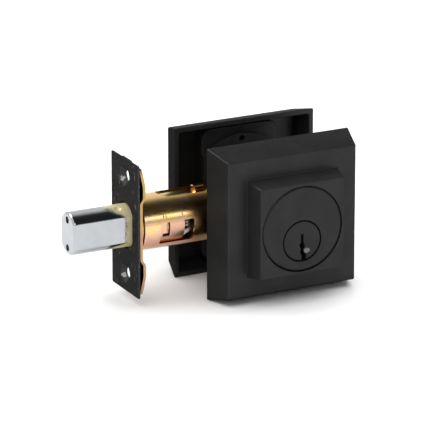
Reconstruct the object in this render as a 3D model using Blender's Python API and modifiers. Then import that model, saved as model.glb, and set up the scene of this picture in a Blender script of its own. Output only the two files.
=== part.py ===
"""Single-cylinder deadbolt with square trim, as it hangs with its bolt thrown.

The frame: the origin is the centre of the door's cross bore, half way between the two roses.
+X runs from the door's edge into the door, so the bolt points to -X. -Y is the keyed, outer
side and +Y the thumbturn side. +Z is up. Every size below is in metres.
"""

import math

import bmesh
import bpy
from mathutils import Matrix, Vector

MM = 0.001
GAP = 0.3 * MM  # clearance between pieces that touch on the real lock

# Where the lock sits in the door.
BACKSET = 62.7 * MM  # faceplate's outer face to the hub and plug axis
DOOR_GAP = 30.0 * MM  # between the backs of the two roses
HUB_DROP = 5.4 * MM  # hub and plug axis below the tube's axis
HUB_Z = -HUB_DROP
THROW = 25.4 * MM

# Faceplate and the plate behind it.
FACE_WIDTH = 25.4 * MM
FACE_HEIGHT = 57.15 * MM
FACE_CORNER = 1.0 * MM
FACE_THICKNESS = 0.8 * MM
FACE_X = -BACKSET
PLATE_GAP = 0.25 * MM
BACKING_X = FACE_X + FACE_THICKNESS + PLATE_GAP
BACKING_THICKNESS = 1.15 * MM
BACKING_END = BACKING_X + BACKING_THICKNESS
BACKING_TRIM = 0.3 * MM  # the backing plate is this much smaller all round
JOGGLE = 1.35 * MM  # how far the backing plate steps away behind each screw
JOGGLE_INNER = (12.8 * MM, 13.8 * MM)
JOGGLE_OUTER = (19.5 * MM, 25.6 * MM)
FACE_SCREW_Z = 21.0 * MM
DIMPLE_DEPTH = 2.0 * MM
DIMPLE_RADIUS = 4.2 * MM
SCREW_HOLE_RADIUS = 2.15 * MM
DIMPLE_WALL = 0.8 * MM

# Bolt: two flats joined by arcs above and below.
BOLT_HALF_WIDTH = 6.5 * MM
BOLT_FLAT_HALF_HEIGHT = 5.4 * MM
BOLT_HALF_HEIGHT = 9.1 * MM
BOLT_PROJECTION = 26.0 * MM
BOLT_LENGTH = 33.0 * MM
BOLT_CHAMFER = 0.8 * MM
BOLT_TIP = FACE_X - BOLT_PROJECTION
BOLT_TAIL = BOLT_TIP + BOLT_LENGTH
PIN_HEIGHT = 6.0 * MM
PIN_RADIUS = 1.35 * MM
PIN_INSET = 1.5 * MM
PIN_LENGTH = 16.2 * MM

# Tube on the faceplate side and the sleeve that it slides on.
TUBE_RADIUS = 11.6 * MM
TUBE_WALL = 0.7 * MM
TUBE_START = -59.5 * MM
TUBE_END = -23.5 * MM
SLEEVE_RADIUS = TUBE_RADIUS - TUBE_WALL - GAP
SLEEVE_WALL = 0.7 * MM
SLEEVE_START = -54.9 * MM
SLEEVE_END = -24.6 * MM
GUIDE_END = -57.7 * MM
WINDOW_TOP = 2.3 * MM
WINDOW_BOTTOM = -7.3 * MM
TUBE_WINDOW = (-51.7 * MM, -36.5 * MM)
SLEEVE_WINDOW = (-40.5 * MM, -35.6 * MM)
HOOK_SLOT = (
    (-47.2, 2.0),
    (-48.0, 2.0),
    (-48.0, -2.8),
    (-50.4, -2.8),
    (-50.4, -4.3),
    (-47.2, -4.3),
)  # (x, z) in millimetres
INDEX_TAB = (-31.5 * MM, -27.5 * MM)
INDEX_TAB_HALF_WIDTH = 2.2 * MM
INDEX_TAB_TOP = TUBE_RADIUS + 0.7 * MM
TOP_SLOT_START = -44.0 * MM
TOP_SLOT_HALF_WIDTH = 4.4 * MM
STAKE_HALF_WIDTH = 2.5 * MM

# Detent spring and lever behind the windows.
DETENT_BASE = (-38.6 * MM, -8.05 * MM, -2.3 * MM)
DETENT_COIL_RADIUS = 0.9 * MM
DETENT_WIRE_RADIUS = 0.36 * MM
DETENT_HEIGHT = 4.8 * MM
LEVER_ENDS = ((-40.8 * MM, -5.3 * MM), (-36.9 * MM, -3.5 * MM))  # (x, z)
LEVER_RADIUS = 0.9 * MM
LEVER_SPAN = (-7.6 * MM, -6.9 * MM)  # y

# Hub, its crank and the drawbar.
CRANK_RADIUS = THROW / math.sqrt(2)
CRANK_REST = math.radians(135)  # from +X towards +Z, seen from -Y
CRANK_PIN_RADIUS = 1.4 * MM
CRANK_TIP_RADIUS = 2.2 * MM
HUB_RADIUS = 4.7 * MM
HUB_HALF_LENGTH = 5.9 * MM
HUB_JOURNAL_RADIUS = 4.0 * MM
HUB_JOURNAL_END = 7.7 * MM
ARM_INNER = 1.3 * MM
ARM_OUTER = 3.0 * MM
CASE_INNER = 6.2 * MM
CASE_PLATE = 1.0 * MM
CASE_BOTTOM = -11.0 * MM
CASE_TOP = 8.5 * MM
CASE_END = 15.5 * MM
CASE_NECK = -20.6 * MM
CASE_START = -27.5 * MM
CASE_NECK_HALF = 6.0 * MM
RIVET_HOLE_RADIUS = 1.5 * MM
SPACER_PLACES = ((-14.5 * MM, -6.5 * MM), (12.5 * MM, -7.0 * MM))
DRAWBAR_HALF_THICKNESS = 0.8 * MM
DRAWBAR_BOTTOM = 0.3 * MM
DRAWBAR_NECK_TOP = 4.7 * MM
DRAWBAR_FORK_TOP = 11.6 * MM
FORK_HALF_GAP = 2.1 * MM
FORK_PRONG = 2.4 * MM
DRAWBAR_TIP = -66.0 * MM
BOLT_SLOT_END = -69.0 * MM

# Tailpiece.
TAIL_HALF_WIDTH = 3.1 * MM
TAIL_HALF_THICKNESS = 0.95 * MM
TAIL_START = -12.0 * MM
TAIL_END = 36.0 * MM

# Roses: a square base with slanted sides and a square boss.
EXTERIOR_BACK = -DOOR_GAP / 2
INTERIOR_BACK = DOOR_GAP / 2
ROSE_HALF = 32.75 * MM
ROSE_WALL = 2.1 * MM
ROSE_EDGE = 0.5 * MM
EXTERIOR_DEPTH = 13.4 * MM
EXTERIOR_INSET = 3.3 * MM
BOSS_HALF = 20.8 * MM
BOSS_DEPTH = 9.1 * MM
BOSS_INSET = 1.4 * MM
EXTERIOR_FACE = EXTERIOR_BACK - EXTERIOR_DEPTH - BOSS_DEPTH
INTERIOR_DEPTH = 12.5 * MM
INTERIOR_INSET = 3.1 * MM
INTERIOR_BOSS_DEPTH = 3.0 * MM
INTERIOR_BOSS_INSET = 0.9 * MM
INTERIOR_FACE = INTERIOR_BACK + INTERIOR_DEPTH + INTERIOR_BOSS_DEPTH
HOOD_HALF_WIDTH = 17.8 * MM
HOOD_HALF_HEIGHT = 28.9 * MM
HOOD_CORNER = 4.0 * MM
HOOD_FACE = 19.0 * MM

# Cylinder.
CYLINDER_RADIUS = 18.1 * MM
CYLINDER_BACK = -14.8 * MM
FLANGE_RADIUS = 24.8 * MM
FLANGE_FRONT = -18.0 * MM
PLUG_RADIUS = 8.4 * MM
PLUG_GAP = 0.35 * MM
PLUG_FRONT = EXTERIOR_FACE + 0.3 * MM
PLUG_BACK = -13.6 * MM
REAR_BOSS_RADIUS = 11.5 * MM
REAR_BOSS_END = -12.3 * MM
POST_RADIUS = 4.2 * MM
POST_START = -25.9 * MM
POST_END = -6.0 * MM
KEYWAY_END = -16.0 * MM
KEYWAY = (
    (-0.6, 3.0),
    (0.6, 3.0),
    (0.6, -0.4),
    (1.0, -1.6),
    (1.0, -5.2),
    (1.9, -5.8),
    (1.9, -9.5),
    (-0.4, -9.5),
    (-0.4, -5.6),
    (-1.3, -4.6),
    (-1.3, -1.6),
    (-0.6, -0.6),
)  # millimetres from the plug's axis
STACK_FIRST = -33.8 * MM
STACK_PITCH = 3.9 * MM
KEY_PIN_LENGTHS = (5.4 * MM, 6.6 * MM, 4.8 * MM, 6.0 * MM, 5.1 * MM)
STACK_PIN_RADIUS = 1.2 * MM
CHAMBER_RADIUS = 1.5 * MM
SHEAR_GAP = 0.15 * MM
DRIVER_LENGTH = 5.3 * MM
CHAMBER_TOP = 13.4 * MM
COVER_HALF_WIDTH = 1.6 * MM
COVER_THICKNESS = 1.0 * MM
COVER_OVERLAP = 1.8 * MM  # how far the cover's groove runs past the end chambers

# Mounting plate and screws on the thumbturn side.
MOUNT_PLATE_FRONT = 17.2 * MM
MOUNT_PLATE_BACK = 18.7 * MM
MOUNT_PLATE_RADIUS = 25.6 * MM
MOUNT_PLATE_HALF_WIDTH = 18.0 * MM
LOCATING_HOLE_Z = 23.5 * MM
LOCATING_HOLE_RADIUS = 1.3 * MM
SCREW_Z = 19.0 * MM
SCREW_RADIUS = 2.0 * MM
SCREW_TIP = -25.1 * MM
SCREW_HEAD_RADIUS = 3.5 * MM
SCREW_HEAD_HEIGHT = 2.2 * MM
SET_SCREW_RADIUS = 1.5 * MM
PRY_NOTCH_RADIUS = 0.8 * MM

# Thumbturn.
TURN_SHAFT_RADIUS = 4.0 * MM
TURN_SHAFT_START = 15.4 * MM
TURN_NECK_RADIUS = 7.0 * MM
TURN_NECK_START = INTERIOR_FACE + 1.4 * MM
TURN_NECK_END = 36.0 * MM
TURN_HALF_LENGTH = 19.0 * MM
TURN_HALF_THICKNESS = 4.6 * MM
TURN_START = 35.0 * MM
TURN_END = 50.5 * MM
TURN_SOCKET_END = 36.8 * MM

ROUND = 40  # sides on the large turned pieces
SMALL_ROUND = 16  # sides on pins and holes
COIL_ROUND = 8  # steps in each turn of a spring
SMOOTH_ANGLE = math.radians(30)

BLACK = ("satin_black", (0.035, 0.035, 0.038), 0.6, 0.45)
CHROME = ("satin_chrome", (0.72, 0.73, 0.75), 1.0, 0.28)
ZINC = ("yellow_zinc", (0.72, 0.52, 0.24), 1.0, 0.32)
STEEL = ("bright_steel", (0.62, 0.63, 0.64), 1.0, 0.35)
BRASS = ("brass", (0.78, 0.6, 0.28), 1.0, 0.3)
HARD_STEEL = ("hardened_steel", (0.12, 0.12, 0.13), 1.0, 0.4)
NYLON = ("white_nylon", (0.8, 0.8, 0.78), 0.0, 0.5)

# Lays a flat (x, y) outline on the plane across each axis.
OUTLINE_TURNS = {
    "x": Matrix(((0, 0, 1, 0), (1, 0, 0, 0), (0, 1, 0, 0), (0, 0, 0, 1))),
    "y": Matrix(((1, 0, 0, 0), (0, 0, -1, 0), (0, 1, 0, 0), (0, 0, 0, 1))),
    "z": Matrix.Identity(4),
}

# Lays a piece that stands along +Z along each axis, its start still first.
SOLID_TURNS = {
    "x": Matrix(((0, 0, 1), (1, 0, 0), (0, 1, 0))),
    "y": Matrix(((-1, 0, 0), (0, 0, 1), (0, 1, 0))),
    "z": Matrix.Identity(3),
}


def clear_scene():
    for obj in list(bpy.data.objects):
        bpy.data.objects.remove(obj, do_unlink=True)


def new_collection(name):
    made = bpy.data.collections.new(name)
    bpy.context.scene.collection.children.link(made)
    return made


def finish_material(finish):
    name, colour, metallic, roughness = finish
    found = bpy.data.materials.get(name)
    if found:
        return found
    made = bpy.data.materials.new(name)
    made.use_nodes = True
    shader = made.node_tree.nodes["Principled BSDF"]
    shader.inputs["Base Color"].default_value = (*colour, 1)
    shader.inputs["Metallic"].default_value = metallic
    shader.inputs["Roughness"].default_value = roughness
    made.diffuse_color = (*colour, 1)
    return made


def new_object(name, mesh):
    obj = bpy.data.objects.new(name, mesh)
    part_collection.objects.link(obj)
    return obj


def helper(obj):
    """Turns an object into a cutter: out of the part, drawn as wire, left out of renders."""
    part_collection.objects.unlink(obj)
    cutter_collection.objects.link(obj)
    obj.hide_render = True
    obj.display_type = "WIRE"
    return obj


def boolean(obj, other, operation):
    step = obj.modifiers.new(other.name, "BOOLEAN")
    step.operation = operation
    step.object = helper(other)
    step.solver = "EXACT"


def cut(obj, other):
    boolean(obj, other, "DIFFERENCE")


def join(obj, other):
    boolean(obj, other, "UNION")


def round_edges(obj, width, segments=2):
    step = obj.modifiers.new("rounded_edges", "BEVEL")
    step.width = width
    step.segments = segments
    step.limit_method = "ANGLE"
    step.angle_limit = math.radians(50)


def finish_piece(obj, finish, body):
    """Gives a piece its material and its body, and shades its round faces smooth."""
    obj.data.materials.append(finish_material(finish))
    if isinstance(obj.data, bpy.types.Mesh):
        obj.data.shade_smooth()
        obj.data.set_sharp_from_angle(angle=SMOOTH_ANGLE)
    obj.parent = bodies[body]
    obj.matrix_parent_inverse = bodies[body].matrix_world.inverted()
    return obj


def box(name, low, high):
    low, high = Vector(low), Vector(high)
    mesh = bpy.data.meshes.new(name)
    shape = bmesh.new()
    bmesh.ops.create_cube(shape, size=1)
    bmesh.ops.scale(shape, vec=high - low, verts=shape.verts)
    bmesh.ops.translate(shape, vec=(low + high) / 2, verts=shape.verts)
    shape.to_mesh(mesh)
    shape.free()
    return new_object(name, mesh)


def cone(name, radii, span, axis, centre=(0, 0), sides=SMALL_ROUND, turn=0.0):
    """A closed cone or cylinder from span[0] to span[1] along an axis.

    centre holds the other two world coordinates, in order.
    """
    start, end = span
    mesh = bpy.data.meshes.new(name)
    shape = bmesh.new()
    bmesh.ops.create_cone(
        shape,
        cap_ends=True,
        segments=sides,
        radius1=radii[0],
        radius2=radii[1],
        depth=end - start,
    )
    bmesh.ops.rotate(shape, cent=(0, 0, 0), matrix=Matrix.Rotation(turn, 3, "Z"), verts=shape.verts)
    bmesh.ops.translate(shape, vec=(0, 0, (start + end) / 2), verts=shape.verts)
    shifts = {
        "x": Vector((0, *centre)),
        "y": Vector((centre[0], 0, centre[1])),
        "z": Vector((*centre, 0)),
    }
    for vert in shape.verts:
        vert.co = SOLID_TURNS[axis] @ vert.co + shifts[axis]
    shape.to_mesh(mesh)
    shape.free()
    return new_object(name, mesh)


def cylinder(name, radius, span, axis, centre=(0, 0), sides=SMALL_ROUND):
    return cone(name, (radius, radius), span, axis, centre, sides)


def square_frustum(name, half_start, half_end, span):
    """A square block along Y whose half width goes from half_start to half_end."""
    corner = math.sqrt(2)
    radii = (half_start * corner, half_end * corner)
    return cone(name, radii, span, "y", sides=4, turn=math.radians(45))


def prism(name, outlines, span, axis):
    """A flat outline, with any holes, pushed along an axis from span[0] to span[1].

    Outline points are (y, z) for axis x, (x, z) for axis y and (x, y) for axis z.
    """
    start, end = span
    curve = bpy.data.curves.new(name, "CURVE")
    curve.dimensions = "2D"
    curve.fill_mode = "BOTH"
    curve.extrude = (end - start) / 2
    for outline in outlines:
        spline = curve.splines.new("POLY")
        spline.points.add(len(outline) - 1)
        for point, (u, v) in zip(spline.points, outline):
            point.co = (u, v, 0, 1)
        spline.use_cyclic_u = True
    flat = new_object(name + "_outline", curve)
    bpy.context.view_layer.update()
    graph = bpy.context.evaluated_depsgraph_get()
    mesh = bpy.data.meshes.new_from_object(flat.evaluated_get(graph))
    bpy.data.objects.remove(flat, do_unlink=True)
    middle = (start + end) / 2
    shift = {"x": (middle, 0, 0), "y": (0, middle, 0), "z": (0, 0, middle)}[axis]
    shape = bmesh.new()
    shape.from_mesh(mesh)
    bmesh.ops.remove_doubles(shape, verts=shape.verts, dist=0.001 * MM)
    bmesh.ops.transform(shape, matrix=OUTLINE_TURNS[axis], verts=shape.verts)
    bmesh.ops.translate(shape, vec=shift, verts=shape.verts)
    bmesh.ops.recalc_face_normals(shape, faces=shape.faces)
    shape.to_mesh(mesh)
    shape.free()
    mesh.name = name
    return new_object(name, mesh)


def coil(name, coil_radius, wire_radius, base, height, turns, finish, body):
    """A compression spring standing on base, with its axis along +Z."""
    count = turns * COIL_ROUND + 1
    curve = bpy.data.curves.new(name, "CURVE")
    curve.dimensions = "3D"
    curve.bevel_depth = wire_radius
    curve.bevel_resolution = 1
    curve.use_fill_caps = True
    spline = curve.splines.new("POLY")
    spline.points.add(count - 1)
    rise = height - 2 * wire_radius
    for step, point in enumerate(spline.points):
        angle = 2 * math.pi * step / COIL_ROUND
        part = step / (count - 1)
        x = base[0] + coil_radius * math.cos(angle)
        y = base[1] + coil_radius * math.sin(angle)
        point.co = (x, y, base[2] + wire_radius + rise * part, 1)
    return finish_piece(new_object(name, curve), finish, body)


def arc(centre, radius, start, end, steps):
    """Points on an arc, ends included. Angles are in radians."""
    points = []
    for step in range(steps + 1):
        angle = start + (end - start) * step / steps
        points.append((centre[0] + radius * math.cos(angle), centre[1] + radius * math.sin(angle)))
    return points


def circle(centre, radius, steps=SMALL_ROUND):
    return arc(centre, radius, 0, 2 * math.pi, steps)[:-1]


def rectangle(low, high):
    return [(low[0], low[1]), (high[0], low[1]), (high[0], high[1]), (low[0], high[1])]


def rounded_rectangle(half_width, half_height, corner, steps=3):
    points = []
    for index, (side, level) in enumerate(((1, 1), (-1, 1), (-1, -1), (1, -1))):
        centre = (side * (half_width - corner), level * (half_height - corner))
        start = index * math.pi / 2
        points += arc(centre, corner, start, start + math.pi / 2, steps)
    return points


def bolt_outline(side_growth, arc_growth, steps=10):
    """The bolt's section in (y, z), grown by the given clearances."""
    half_width = BOLT_HALF_WIDTH + side_growth
    flat = BOLT_FLAT_HALF_HEIGHT + arc_growth / 2
    rise = BOLT_HALF_HEIGHT + arc_growth - flat
    radius = (rise**2 + half_width**2) / (2 * rise)
    spread = math.asin(half_width / radius)
    middle = flat + rise - radius
    top = arc((0, middle), radius, math.pi / 2 - spread, math.pi / 2 + spread, steps)
    bottom = arc((0, -middle), radius, -math.pi / 2 - spread, -math.pi / 2 + spread, steps)
    return top + bottom


def double_d(radius, half_width, steps=10):
    """A disc with its two sides cut straight at +-half_width."""
    spread = math.asin(half_width / radius)
    top = arc((0, 0), radius, math.pi / 2 - spread, math.pi / 2 + spread, steps)
    bottom = arc((0, 0), radius, -math.pi / 2 - spread, -math.pi / 2 + spread, steps)
    return top + bottom


def tapered_link(start, start_radius, end, end_radius, steps=8):
    """The outline round two circles of different sizes, without the tangents' small lean."""
    along = math.atan2(end[1] - start[1], end[0] - start[0])
    far = arc(end, end_radius, along - math.pi / 2, along + math.pi / 2, steps)
    near = arc(start, start_radius, along + math.pi / 2, along + 3 * math.pi / 2, steps)
    return far + near


# The latch: faceplate side.


def make_faceplate():
    span = (FACE_X, FACE_X + FACE_THICKNESS)
    outline = rounded_rectangle(FACE_WIDTH / 2, FACE_HEIGHT / 2, FACE_CORNER)
    opening = bolt_outline(0.45 * MM, 0.9 * MM)
    plate = prism("faceplate", [outline, opening], span, "x")
    cup_front = FACE_X + FACE_THICKNESS / 2
    cup_back = FACE_X + DIMPLE_DEPTH
    for name, z in (("upper", FACE_SCREW_Z), ("lower", -FACE_SCREW_Z)):
        radii = (DIMPLE_RADIUS + DIMPLE_WALL / 2, SCREW_HOLE_RADIUS + DIMPLE_WALL)
        join(plate, cone("dimple_" + name, radii, (cup_front, cup_back), "x", (0, z), 20))
    slope = (DIMPLE_RADIUS - SCREW_HOLE_RADIUS) / DIMPLE_DEPTH
    beyond = 0.1 * MM
    for name, z in (("upper", FACE_SCREW_Z), ("lower", -FACE_SCREW_Z)):
        radii = (DIMPLE_RADIUS + slope * beyond, SCREW_HOLE_RADIUS - slope * beyond)
        span = (FACE_X - beyond, cup_back + beyond)
        cut(plate, cone("countersink_" + name, radii, span, "x", (0, z), 20))
    return finish_piece(plate, BLACK, "latch_front")


def make_backing_plate():
    half = FACE_HEIGHT / 2 - BACKING_TRIM
    upper = [(JOGGLE_INNER[0], 0), (JOGGLE_INNER[1], JOGGLE)]
    upper += [(JOGGLE_OUTER[0], JOGGLE), (JOGGLE_OUTER[1], 0), (half, 0)]
    steps = [(-z, out) for z, out in reversed(upper)] + upper
    front = [(BACKING_X + out, z) for z, out in steps]
    back = [(BACKING_END + out, z) for z, out in reversed(steps)]
    half_width = FACE_WIDTH / 2 - BACKING_TRIM
    plate = prism("backing_plate", [front + back], (-half_width, half_width), "y")
    reach = (BACKING_X - MM, BACKING_END + JOGGLE + MM)
    opening = bolt_outline(0.6 * MM, 0.6 * MM)
    cut(plate, prism("backing_opening", [opening], reach, "x"))
    for name, side in (("upper", 1), ("lower", -1)):
        centre = (0, side * FACE_SCREW_Z)
        radius = DIMPLE_RADIUS + DIMPLE_WALL / 2
        cut(plate, cylinder("backing_hole_" + name, radius, reach, "x", centre, 20))
        inner = side * (TUBE_RADIUS - TUBE_WALL - GAP)
        outer = side * (TUBE_RADIUS + GAP)
        low = (reach[0], -STAKE_HALF_WIDTH - GAP, min(inner, outer))
        high = (reach[1], STAKE_HALF_WIDTH + GAP, max(inner, outer))
        cut(plate, box("stake_slot_" + name, low, high))
    return finish_piece(plate, ZINC, "latch_front")


def make_bolt_guide():
    radius = TUBE_RADIUS - TUBE_WALL - GAP
    outline = circle((0, 0), radius, ROUND)
    span = (BACKING_END + GAP, GUIDE_END)
    guide = prism("bolt_guide", [outline, bolt_outline(0.35 * MM, 0.35 * MM)], span, "x")
    return finish_piece(guide, BRASS, "latch_front")


def side_window(name, places):
    """A cutter for the windows in both sides of a tube."""
    low = (places[0], WINDOW_BOTTOM)
    high = (places[1], WINDOW_TOP)
    reach = TUBE_RADIUS + 2 * MM
    return prism(name, [rectangle(low, high)], (-reach, reach), "y")


def make_bolt_tube():
    inner = TUBE_RADIUS - TUBE_WALL
    walls = [circle((0, 0), TUBE_RADIUS, ROUND), circle((0, 0), inner, ROUND)]
    tube = prism("bolt_tube", walls, (TUBE_START, TUBE_END), "x")
    for name, side in (("upper", 1), ("lower", -1)):
        edges = sorted((side * (inner + 0.15 * MM), side * (TUBE_RADIUS - 0.1 * MM)))
        low = (BACKING_X + GAP, -STAKE_HALF_WIDTH, edges[0])
        high = (TUBE_START + MM, STAKE_HALF_WIDTH, edges[1])
        join(tube, box("stake_" + name, low, high))
    cut(tube, side_window("tube_window", TUBE_WINDOW))
    half = TOP_SLOT_HALF_WIDTH
    nose = arc((TOP_SLOT_START, 0), half, math.pi / 2, 3 * math.pi / 2, 6)
    slot = nose + [(TUBE_END + 2 * MM, -half), (TUBE_END + 2 * MM, half)]
    cut(tube, prism("top_slot", [slot], (inner - 4 * MM, TUBE_RADIUS + 2 * MM), "z"))
    return finish_piece(tube, ZINC, "latch_front")


def make_bolt():
    bolt = prism("bolt", [bolt_outline(0, 0)], (BOLT_TIP, BOLT_TAIL), "x")
    round_edges(bolt, BOLT_CHAMFER, 1)
    hole_end = BOLT_TIP + PIN_INSET + PIN_LENGTH + GAP
    for name, side in (("upper", 1), ("lower", -1)):
        centre = (0, side * PIN_HEIGHT)
        span = (BOLT_TIP - MM, hole_end)
        cut(bolt, cylinder("pin_hole_" + name, PIN_RADIUS + GAP, span, "x", centre))
    half = DRAWBAR_HALF_THICKNESS + GAP
    low = (BOLT_SLOT_END, -half, DRAWBAR_BOTTOM - GAP)
    high = (BOLT_TAIL + MM, half, DRAWBAR_NECK_TOP + GAP)
    cut(bolt, box("drawbar_slot", low, high))
    finish_piece(bolt, CHROME, "bolt")
    start = BOLT_TIP + PIN_INSET
    for name, side in (("upper", 1), ("lower", -1)):
        centre = (0, side * PIN_HEIGHT)
        pin = cylinder("hardened_pin_" + name, PIN_RADIUS, (start, start + PIN_LENGTH), "x", centre)
        finish_piece(pin, HARD_STEEL, "bolt")


# The latch: hub side.


def make_inner_sleeve():
    inner = SLEEVE_RADIUS - SLEEVE_WALL
    walls = [circle((0, 0), SLEEVE_RADIUS, ROUND), circle((0, 0), inner, ROUND)]
    sleeve = prism("inner_sleeve", walls, (SLEEVE_START, SLEEVE_END), "x")
    tab_low = (INDEX_TAB[0], -INDEX_TAB_HALF_WIDTH, inner + 0.2 * MM)
    tab_high = (INDEX_TAB[1], INDEX_TAB_HALF_WIDTH, INDEX_TAB_TOP)
    join(sleeve, box("index_tab", tab_low, tab_high))
    cut(sleeve, side_window("sleeve_window", SLEEVE_WINDOW))
    outline = [(x * MM, z * MM) for x, z in HOOK_SLOT]
    cut(sleeve, prism("hook_slot", [outline], (-TUBE_RADIUS, TUBE_RADIUS), "y"))
    return finish_piece(sleeve, ZINC, "root")


def case_outline():
    corner = 3.0 * MM
    rear_top = arc((CASE_END - corner, CASE_TOP - corner), corner, math.pi / 2, 0, 3)
    rear_bottom = arc((CASE_END - corner, CASE_BOTTOM + corner), corner, 0, -math.pi / 2, 3)
    front = [
        (CASE_NECK, CASE_BOTTOM),
        (CASE_NECK, -CASE_NECK_HALF),
        (CASE_START, -CASE_NECK_HALF),
        (CASE_START, CASE_NECK_HALF),
        (CASE_NECK, CASE_NECK_HALF),
        (CASE_NECK, CASE_TOP),
    ]
    return rear_top + rear_bottom + front


def make_case_plates():
    hub_hole = circle((0, HUB_Z), HUB_JOURNAL_RADIUS + GAP, 24)
    rivet_holes = [circle(place, RIVET_HOLE_RADIUS, 12) for place in SPACER_PLACES]
    outlines = [case_outline(), hub_hole] + rivet_holes
    spans = {
        "case_plate_outer": (-CASE_INNER - CASE_PLATE, -CASE_INNER),
        "case_plate_inner": (CASE_INNER, CASE_INNER + CASE_PLATE),
    }
    for name, span in spans.items():
        finish_piece(prism(name, outlines, span, "y"), ZINC, "root")


def turned(name, profile, centre, steps, finish, body):
    """A turned piece along Y. The profile is (radius, y) pairs from +Y to -Y, closed on the axis."""
    mesh = bpy.data.meshes.new(name)
    shape = bmesh.new()
    points = [(0, profile[0][1])] + list(profile) + [(0, profile[-1][1])]
    verts = [shape.verts.new((radius, 0, y)) for radius, y in points]
    for first, second in zip(verts, verts[1:]):
        shape.edges.new((first, second))
    shape.to_mesh(mesh)
    shape.free()
    obj = new_object(name, mesh)
    obj.location = (centre[0], 0, centre[1])
    obj.rotation_euler = (math.radians(-90), 0, 0)
    screw = obj.modifiers.new("turned", "SCREW")
    screw.axis = "Z"
    screw.steps = steps
    screw.render_steps = steps
    screw.use_merge_vertices = True
    screw.merge_threshold = 0.01 * MM
    bpy.context.view_layer.update()
    return finish_piece(obj, finish, body)


def make_case_spacers():
    shoulder = CASE_INNER - GAP
    head = CASE_INNER + CASE_PLATE + GAP
    end = head + 0.7 * MM
    rivet, body, cap = 1.2 * MM, 2.0 * MM, 2.0 * MM
    half = [(cap - 0.4 * MM, end), (cap, end - 0.3 * MM), (cap, head), (rivet, head)]
    half += [(rivet, shoulder), (body, shoulder)]
    profile = half + [(radius, -y) for radius, y in reversed(half)]
    for name, place in zip(("case_spacer_front", "case_spacer_rear"), SPACER_PLACES):
        turned(name, profile, place, 12, STEEL, "root")


def crank_pin_place():
    x = CRANK_RADIUS * math.cos(CRANK_REST)
    z = HUB_Z + CRANK_RADIUS * math.sin(CRANK_REST)
    return x, z


def make_hub():
    centre = (0, HUB_Z)
    hub = cylinder("hub_cam", HUB_RADIUS, (-HUB_HALF_LENGTH, HUB_HALF_LENGTH), "y", centre, 24)
    journal = (-HUB_JOURNAL_END, HUB_JOURNAL_END)
    join(hub, cylinder("hub_journal", HUB_JOURNAL_RADIUS, journal, "y", centre, 24))
    arm = tapered_link(centre, HUB_RADIUS - 0.4 * MM, crank_pin_place(), CRANK_TIP_RADIUS)
    join(hub, prism("arm_outer", [arm], (-ARM_OUTER, -ARM_INNER), "y"))
    join(hub, prism("arm_inner", [arm], (ARM_INNER, ARM_OUTER), "y"))
    pin_span = (-ARM_OUTER + 0.2 * MM, ARM_OUTER - 0.2 * MM)
    join(hub, cylinder("crank_pin", CRANK_PIN_RADIUS, pin_span, "y", crank_pin_place(), 12))
    low = (-TAIL_HALF_WIDTH - GAP, -HUB_JOURNAL_END - MM, HUB_Z - TAIL_HALF_THICKNESS - GAP)
    high = (TAIL_HALF_WIDTH + GAP, HUB_JOURNAL_END + MM, HUB_Z + TAIL_HALF_THICKNESS + GAP)
    cut(hub, box("tail_slot", low, high))
    return finish_piece(hub, STEEL, "hub")


def make_tailpiece():
    low = (-TAIL_HALF_WIDTH, TAIL_START, HUB_Z - TAIL_HALF_THICKNESS)
    high = (TAIL_HALF_WIDTH, TAIL_END, HUB_Z + TAIL_HALF_THICKNESS)
    bar = box("tailpiece", low, high)
    round_edges(bar, 0.3 * MM, 1)
    return finish_piece(bar, STEEL, "hub")


def make_drawbar():
    x = crank_pin_place()[0]
    slot_floor = crank_pin_place()[1] - CRANK_PIN_RADIUS - 0.6 * MM
    outer = FORK_HALF_GAP + FORK_PRONG
    outline = [
        (DRAWBAR_TIP, DRAWBAR_BOTTOM),
        (x + outer, DRAWBAR_BOTTOM),
        (x + outer, DRAWBAR_FORK_TOP),
        (x + FORK_HALF_GAP, DRAWBAR_FORK_TOP),
        (x + FORK_HALF_GAP, slot_floor),
        (x - FORK_HALF_GAP, slot_floor),
        (x - FORK_HALF_GAP, DRAWBAR_FORK_TOP),
        (x - outer, DRAWBAR_FORK_TOP),
        (x - outer, DRAWBAR_NECK_TOP),
        (DRAWBAR_TIP, DRAWBAR_NECK_TOP),
    ]
    span = (-DRAWBAR_HALF_THICKNESS, DRAWBAR_HALF_THICKNESS)
    return finish_piece(prism("drawbar", [outline], span, "y"), STEEL, "drawbar")


def make_detent():
    coil(
        "detent_spring",
        DETENT_COIL_RADIUS,
        DETENT_WIRE_RADIUS,
        DETENT_BASE,
        DETENT_HEIGHT,
        3,
        STEEL,
        "root",
    )
    start, end = LEVER_ENDS
    lever = tapered_link(start, LEVER_RADIUS, end, LEVER_RADIUS, 5)
    finish_piece(prism("detent_lever", [lever], LEVER_SPAN, "y"), STEEL, "root")


# The keyed side.


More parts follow.
